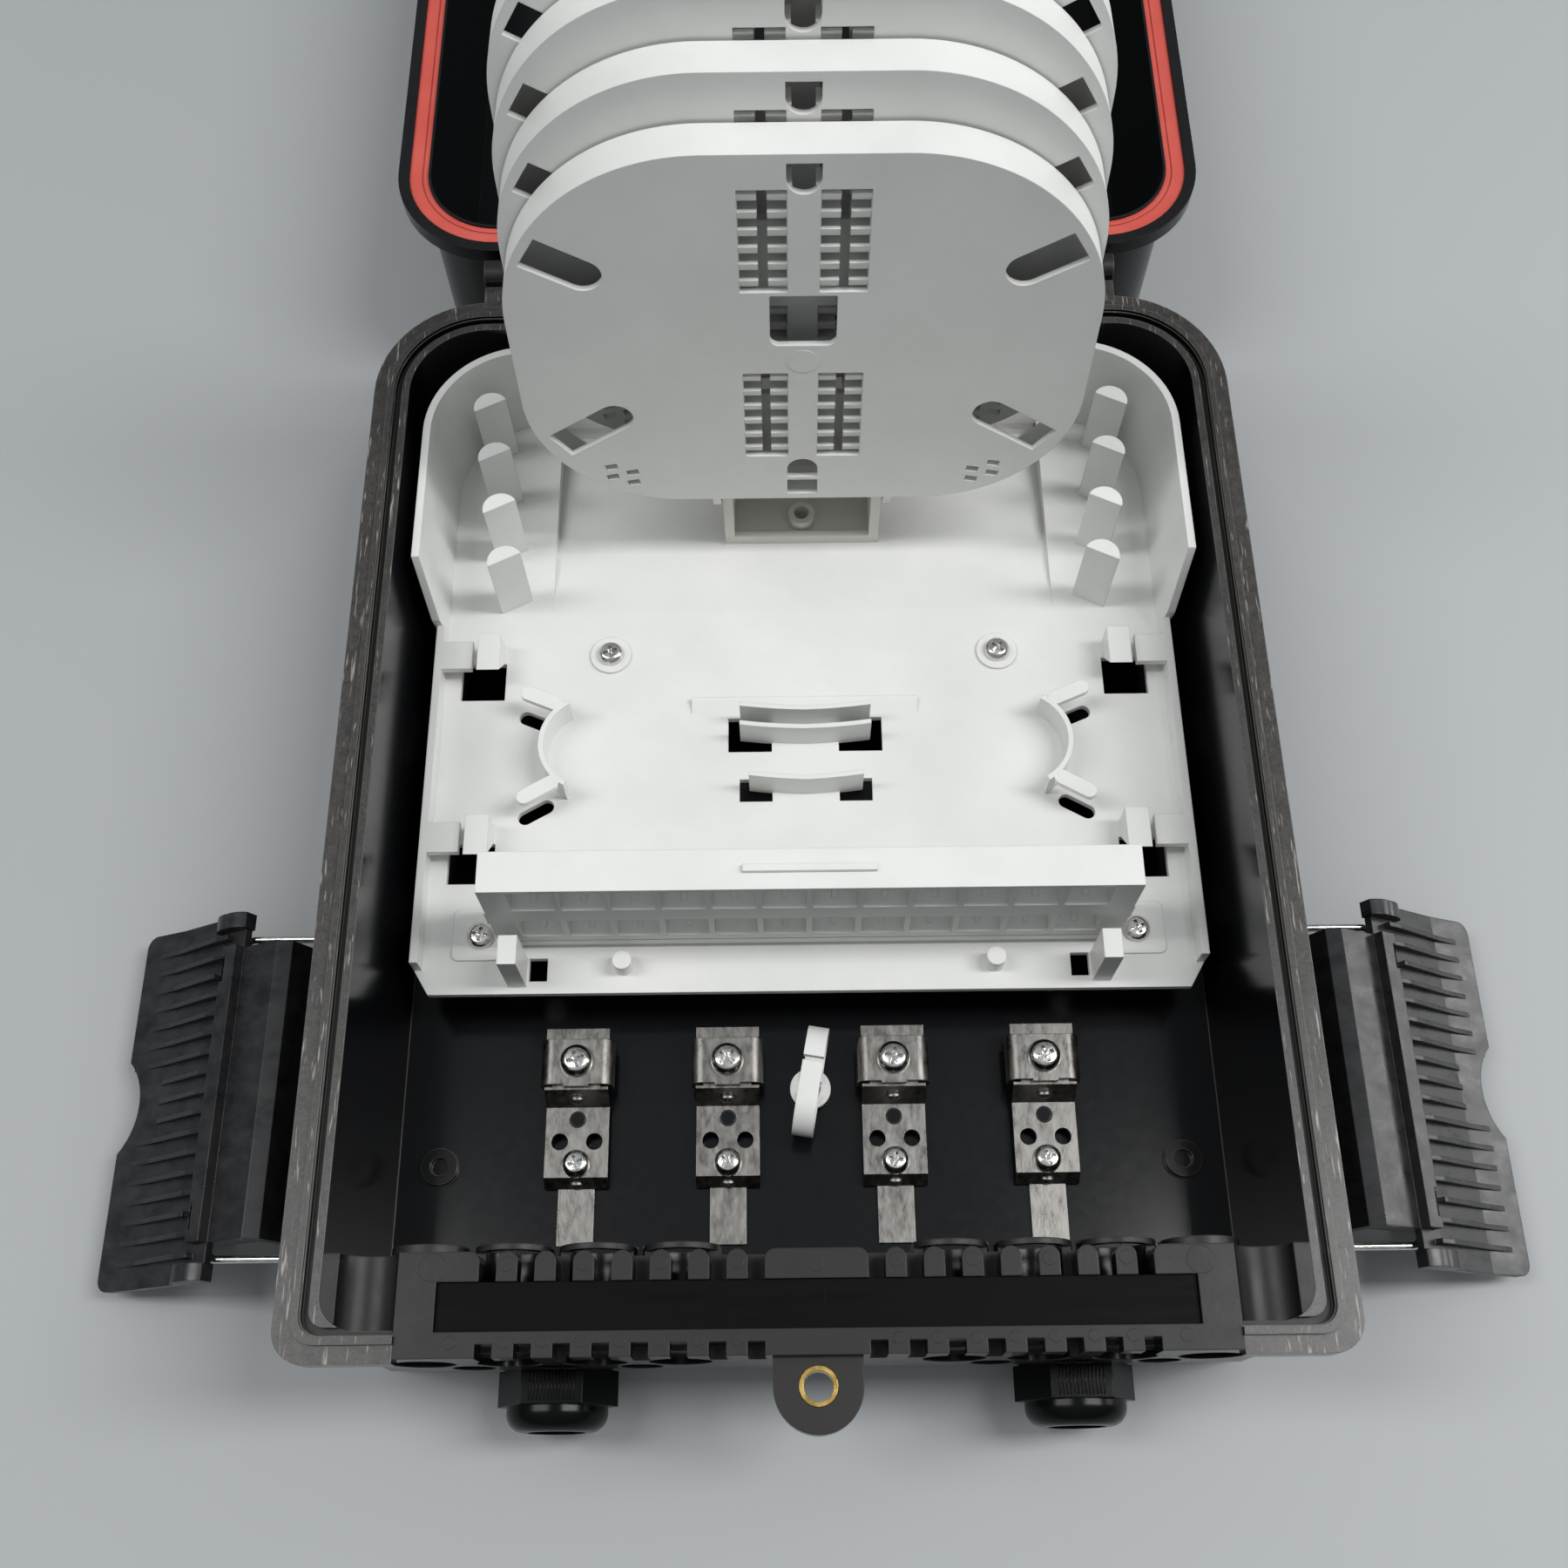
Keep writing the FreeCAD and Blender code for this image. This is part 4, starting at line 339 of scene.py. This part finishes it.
def nextRing(mesh, edges):  # extrudes an open rim and gives its new points and edges
    made = bmesh.ops.extrude_edge_only(mesh, edges=edges)["geom"]
    points = [item for item in made if isinstance(item, bmesh.types.BMVert)]
    fresh = set(points)
    rim = [item for item in made
           if isinstance(item, bmesh.types.BMEdge) and fresh.issuperset(item.verts)]
    return points, rim


# cross-recess pan-head screws: spots give the seat of each head, sizes in mm
strapX = (-63.6, -22.6, 22.6, 63.6)
screwSets = {
    "plateScrews": {
        "node": "plate_screws", "head": 3.8, "dome": 2.4, "core": 1.5, "length": 6.0,
        "spots": [(-57.2, 51.0, 24.8), (57.2, 51.0, 24.8),
                  (-90.2, -36.6, 24.6), (90.2, -36.6, 24.6)]},
    "strapScrews": {
        "node": "cable_bracket_screws", "head": 3.8, "dome": 2.6, "core": 1.5, "length": 3.0,
        "spots": [(x, -95.9, 8.0) for x in strapX]},
    "saddleScrews": {
        "node": "saddle_screws", "head": 4.5, "dome": 3.0, "core": 1.9, "length": 9.0,
        "spots": [(x, -69.6, 15.8) for x in strapX]},
    "clipScrew": {
        "node": "clip_screw", "head": 3.0, "dome": 1.6, "core": 1.5, "length": 3.0,
        "spots": [(0, -75.6, 6.6)]},
}
# rings are shares of the head's radius and dome; angles in degrees, and each screw of a set is
# turned on from the one before
screwForm = {
    "segments": 48,
    "rings": ((1.0, 0.0), (1.0, 0.22), (0.95, 0.5), (0.84, 0.76), (0.7, 0.93), (0.6, 0.99)),
    "crossOut": 0.55, "crossIn": 0.2, "lobe": 15.0, "flank": 24.0, "sink": 0.6, "taper": 0.72,
    "firstTurn": 17, "turnStep": 31}


def crossReach(angle, turn):  # radius of the recess outline, as a share of the head
    form = screwForm
    away = abs((math.degrees(angle) - turn + 45) % 90 - 45)
    share = min(max((form["flank"] - away) / (form["flank"] - form["lobe"]), 0), 1)
    return form["crossIn"] + (form["crossOut"] - form["crossIn"]) * share


def addScrew(mesh, look, spot, turn):
    form = screwForm
    seat = Vector(spot) * mm
    tip = Matrix.Translation(seat - Vector((0, 0, look["length"] * mm)))
    start = bmesh.ops.create_circle(mesh, cap_ends=True, radius=look["core"] * mm,
                                    segments=form["segments"], matrix=tip)
    rim = list({edge for point in start["verts"] for edge in point.link_edges})
    neck = [(look["core"] / look["head"], 0.0)]
    recess = [("cross", 1.0), ("floor", 1.0 - form["sink"])]
    for reach, rise in neck + list(form["rings"]) + recess:
        points, rim = nextRing(mesh, rim)
        for point in points:
            away = point.co - seat
            angle = math.atan2(away.y, away.x)
            share = reach
            if reach == "cross":
                share = crossReach(angle, turn)
            elif reach == "floor":
                share = crossReach(angle, turn) * form["taper"]
            radius = share * look["head"] * mm
            point.co = seat + Vector((math.cos(angle) * radius, math.sin(angle) * radius,
                                      rise * look["dome"] * mm))
    bmesh.ops.edgeloop_fill(mesh, edges=rim)


for name, look in screwSets.items():
    mesh = bmesh.new()
    for i, spot in enumerate(look["spots"]):
        addScrew(mesh, look, spot, screwForm["firstTurn"] + screwForm["turnStep"] * i)
    finishPiece(name, mesh, "base", "bright_steel", (look["node"],))
print("screws made:", len(screwSets), "sets")

# ejector-pin witness marks on the tops of the comb teeth: thin raised rings, in mm;
# spots give centre and radius, dish and skirt are shares of the rise
toothFirst, toothPitch = 18.45, 8.9
ejectorMarks = {
    "top": 62.0, "rise": 0.1, "band": 0.28, "dish": 0.7, "skirt": 2, "segments": 28,
    "spots": [(side * (toothFirst + toothPitch * i), -129.7, 1.75)
              for side in (-1, 1) for i in (0, 2, 4, 6)]
    + [(side * (toothFirst + toothPitch * i), -147.0, 1.45) for side in (-1, 1) for i in range(7)]
    + [(side * 89.0, -130.4, 3.3) for side in (-1, 1)] + [(0.0, -130.3, 1.9)]
    + [(side * 84.0, -147.0, 1.6) for side in (-1, 1)],
}


def makeEjectorMarks():
    look = ejectorMarks
    mesh = bmesh.new()
    for x, y, radius in look["spots"]:
        place = Matrix.Translation(Vector((x, y, look["top"] + look["rise"])) * mm)
        disc = bmesh.ops.create_circle(mesh, cap_ends=True, radius=radius * mm,
                                       segments=look["segments"], matrix=place)
        rim = list({edge for point in disc["verts"] for edge in point.link_edges})
        face = list(disc["verts"][0].link_faces)
        bmesh.ops.inset_region(mesh, faces=face, thickness=look["band"] * mm, depth=0.0)
        bmesh.ops.translate(mesh, verts=face[0].verts,
                            vec=(0, 0, -look["rise"] * look["dish"] * mm))
        skirt, rim = nextRing(mesh, rim)
        bmesh.ops.translate(mesh, verts=skirt, vec=(0, 0, -look["rise"] * look["skirt"] * mm))
    finishPiece("ejectorMarks", mesh, "base", "black_shell",
                material=shellMaterials["entry_head"])


makeEjectorMarks()
print("ejector marks made:", len(ejectorMarks["spots"]))

# keys on the sills of the adapter windows: a low wedge in the middle of each, rising to the
# back; sizes in mm, slope is the share of the rise that the front loses
windowKeys = {"pitch": 13.0, "count": 12, "sills": (33.9, 53.9), "near": -37.5, "far": -30.2,
              "width": 1.7, "rise": 2.2, "slope": 0.85, "bevel": 0.25}


def makeWindowKeys():
    look = windowKeys
    mesh = bmesh.new()
    middle = (look["near"] + look["far"]) / 2
    depth = look["far"] - look["near"]
    halfSunk = look["rise"] * 2
    size = Matrix.Diagonal((look["width"] * mm, depth * mm, halfSunk * mm, 1))
    for i in range(look["count"]):
        across = (i - (look["count"] - 1) / 2) * look["pitch"]
        for sill in look["sills"]:
            place = Matrix.Translation(Vector((across, middle, sill)) * mm)
            made = bmesh.ops.create_cube(mesh, size=1.0, matrix=place @ size)
            front = [point for point in made["verts"]
                     if point.co.z > sill * mm and point.co.y < middle * mm]
            bmesh.ops.translate(mesh, verts=front, vec=(0, 0, -look["rise"] * look["slope"] * mm))
    bmesh.ops.bevel(mesh, geom=mesh.edges[:], offset=look["bevel"] * mm, offset_type="OFFSET",
                    segments=2, profile=0.5, affect="EDGES", material=-1)
    finishPiece("windowKeys", mesh, "base", "white_plastic")


makeWindowKeys()
print("window keys made")

# grip ribs on alternate flats of the gland nuts, sizes in mm
nutRibs = {"axisHeight": 17.5, "flats": 26.0, "pitch": 0.9, "count": 13, "width": 0.42,
           "rise": 0.24, "start": 0.8, "end": 7.6, "ribbedFlats": 3, "bevel": 0.1,
           "offsets": {"left": -64.5, "right": 64.5}}


def makeNutRibs(word):
    look = nutRibs
    mesh = bmesh.new()
    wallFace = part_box("gland_nut_" + word)[1].y  # end of the nut that is next to the box
    centre = Vector((look["offsets"][word] * mm,
                     wallFace - (look["start"] + look["end"]) / 2 * mm,
                     look["axisHeight"] * mm))
    length = look["end"] - look["start"]
    halfSunk = look["rise"] * 2
    size = Matrix.Diagonal((look["width"] * mm, length * mm, halfSunk * mm, 1))
    for flat in range(look["ribbedFlats"]):
        turn = Matrix.Rotation(math.radians(360 / look["ribbedFlats"] * flat), 4, "Y")
        for i in range(look["count"]):
            across = (i - (look["count"] - 1) / 2) * look["pitch"]
            place = Matrix.Translation(Vector((across, 0, look["flats"] / 2)) * mm)
            bmesh.ops.create_cube(mesh, size=1.0,
                                  matrix=Matrix.Translation(centre) @ turn @ place @ size)
    bmesh.ops.bevel(mesh, geom=mesh.edges[:], offset=look["bevel"] * mm, offset_type="OFFSET",
                    segments=1, profile=0.5, affect="EDGES", material=-1)
    finishPiece("nutRibs" + word.capitalize(), mesh, "gland_nut_" + word, "black_gland")


for word in ("left", "right"):
    makeNutRibs(word)
print("gland nuts ribbed")

# plain round mould mark on the under face of every tray: a thin ring, where the tool's insert
# sat; sizes in mm, the lean in degrees, dish and skirt as shares of the rise
trayMarks = {"reach": 61.3, "radius": 4.2, "band": 0.55, "rise": 0.3, "dish": 0.7, "skirt": 2,
             "faceDrop": 5.3, "lean": 86.0, "step": 12.2, "axis": (94.0, 45.0), "segments": 40}


def makeTrayMark(number):
    look = trayMarks
    mesh = bmesh.new()
    climb = look["step"] * (number - 1)
    axis = Vector((0, look["axis"][0] + climb, look["axis"][1] + climb)) * mm
    lying = Matrix.Translation(Vector((0, -look["reach"], -look["faceDrop"] - look["rise"])) * mm)
    stand = Matrix.Translation(axis) @ Matrix.Rotation(-math.radians(180 - look["lean"]), 4, "X")
    disc = bmesh.ops.create_circle(mesh, cap_ends=True, radius=look["radius"] * mm,
                                   segments=look["segments"])
    rim = list({edge for point in disc["verts"] for edge in point.link_edges})
    face = list(disc["verts"][0].link_faces)
    bmesh.ops.inset_region(mesh, faces=face, thickness=look["band"] * mm, depth=0.0)
    bmesh.ops.translate(mesh, verts=face[0].verts, vec=(0, 0, look["rise"] * look["dish"] * mm))
    skirt, rim = nextRing(mesh, rim)
    bmesh.ops.translate(mesh, verts=skirt, vec=(0, 0, look["rise"] * look["skirt"] * mm))
    bmesh.ops.transform(mesh, matrix=stand @ lying, verts=mesh.verts[:])
    finishPiece("trayMark" + str(number), mesh, "tray_" + str(number), "white_plastic")


for number in (1, 2, 3, 4):
    makeTrayMark(number)
print("tray marks made")

# pressed stiffening dimples across the folds of the cable brackets: spots give Y and Z, in mm
foldDimples = {"spots": [(-100.9, 5.6), (-79.0, 11.2)], "size": (2.0, 1.3, 1.5),
               "segments": 20, "rings": 12}


def makeFoldDimples():
    look = foldDimples
    mesh = bmesh.new()
    size = Matrix.Diagonal(tuple(s * mm for s in look["size"]) + (1,))
    for x in strapX:
        for y, z in look["spots"]:
            shape = Matrix.Translation(Vector((x, y, z)) * mm) @ size
            bmesh.ops.create_uvsphere(mesh, u_segments=look["segments"], v_segments=look["rings"],
                                      radius=1.0, matrix=shape)
    finishPiece("foldDimples", mesh, "base", "stainless_sheet")


makeFoldDimples()
print("fold dimples made")

# pale table, matt; its size in metres
tableLook = {"tone": "#acafb0", "roughness": 0.6, "size": 24.0}


def makeTable():
    look = tableLook
    mesh = bmesh.new()
    bmesh.ops.create_grid(mesh, x_segments=1, y_segments=1, size=look["size"] / 2)
    data = bpy.data.meshes.new("table")
    mesh.to_mesh(data)
    mesh.free()
    table = bpy.data.objects.new("table", data)
    bpy.context.collection.objects.link(table)
    material, tree, shader = startMaterial("paleTable", {
        "Base Color": linear(look["tone"]), "Roughness": look["roughness"]})
    data.materials.append(material)


# a pale ceiling over dim walls, so that level faces shine and upright ones stay darker
worldLook = {"tone": "#dfe4e8", "horizon": 0.16, "zenith": 0.56}


def makeWorld():
    look = worldLook
    world = bpy.data.worlds.new("studio")
    bpy.context.scene.world = world
    world.use_nodes = True
    tree = world.node_tree
    background = tree.nodes["Background"]
    background.inputs["Color"].default_value = linear(look["tone"])
    coords = addNode(tree, "ShaderNodeTexCoord")
    heading = addNode(tree, "ShaderNodeSeparateXYZ", links={"Vector": coords.outputs["Generated"]})
    glow = addNode(tree, "ShaderNodeMapRange",
                   {"To Min": look["horizon"], "To Max": look["zenith"]},
                   {"Value": heading.outputs["Z"]})
    tree.links.new(glow.outputs["Result"], background.inputs["Strength"])


# two long ceiling panels and a weak one that the right handle reflects; metres and watts
lampLooks = {
    "rightSoftbox": {"spot": (0.95, 0.0, 1.45), "aim": (0, 0.0, 0.03), "size": (0.3, 1.1),
                     "power": 16},
    "leftSoftbox": {"spot": (-0.95, 0.0, 1.45), "aim": (0, 0.0, 0.03), "size": (0.3, 1.1),
                    "power": 10},
    "sidePanel": {"spot": (1.5, 0.2, 0.45), "aim": (0.15, -0.08, 0.02), "size": (0.6, 0.5),
                  "power": 5},
}


def addLamp(name, look):
    lamp = bpy.data.lights.new(name, "AREA")
    lamp.shape = "RECTANGLE"
    lamp.size, lamp.size_y = look["size"]
    lamp.energy = look["power"]
    holder = bpy.data.objects.new(name, lamp)
    holder.location = look["spot"]
    heading = Vector(look["aim"]) - Vector(look["spot"])
    holder.rotation_euler = heading.to_track_quat("-Z", "Y").to_euler()
    bpy.context.collection.objects.link(holder)


makeTable()
makeWorld()
for name, look in lampLooks.items():
    addLamp(name, look)

# lens position, nearest distance and sensor in mm, angles in degrees
cameraLook = {"place": (-6.3, -187.8, 461.1), "pitch": 65.8, "roll": 0.66, "sensor": 36,
              "nearest": 10, "focalPixels": 1919, "imagePixels": 1800}


def makeCamera():
    look = cameraLook
    pitch = math.radians(look["pitch"])
    roll = math.radians(look["roll"])
    forward = Vector((0, math.cos(pitch), -math.sin(pitch)))
    rise = Vector((0, math.sin(pitch), math.cos(pitch)))
    side = Vector((1, 0, 0))
    right = side * math.cos(roll) - rise * math.sin(roll)
    up = side * math.sin(roll) + rise * math.cos(roll)
    lens = bpy.data.cameras.new("photoView")
    lens.sensor_width = look["sensor"]
    lens.lens = look["sensor"] * look["focalPixels"] / look["imagePixels"]
    lens.clip_start = look["nearest"] * mm
    camera = bpy.data.objects.new("photoView", lens)
    turn = Matrix((right, up, -forward)).transposed().to_4x4()
    camera.matrix_world = Matrix.Translation(Vector(look["place"]) * mm) @ turn
    bpy.context.collection.objects.link(camera)
    bpy.context.scene.camera = camera


makeCamera()
bpy.context.scene.view_settings.view_transform = "Standard"
print("table, lamps and camera set")
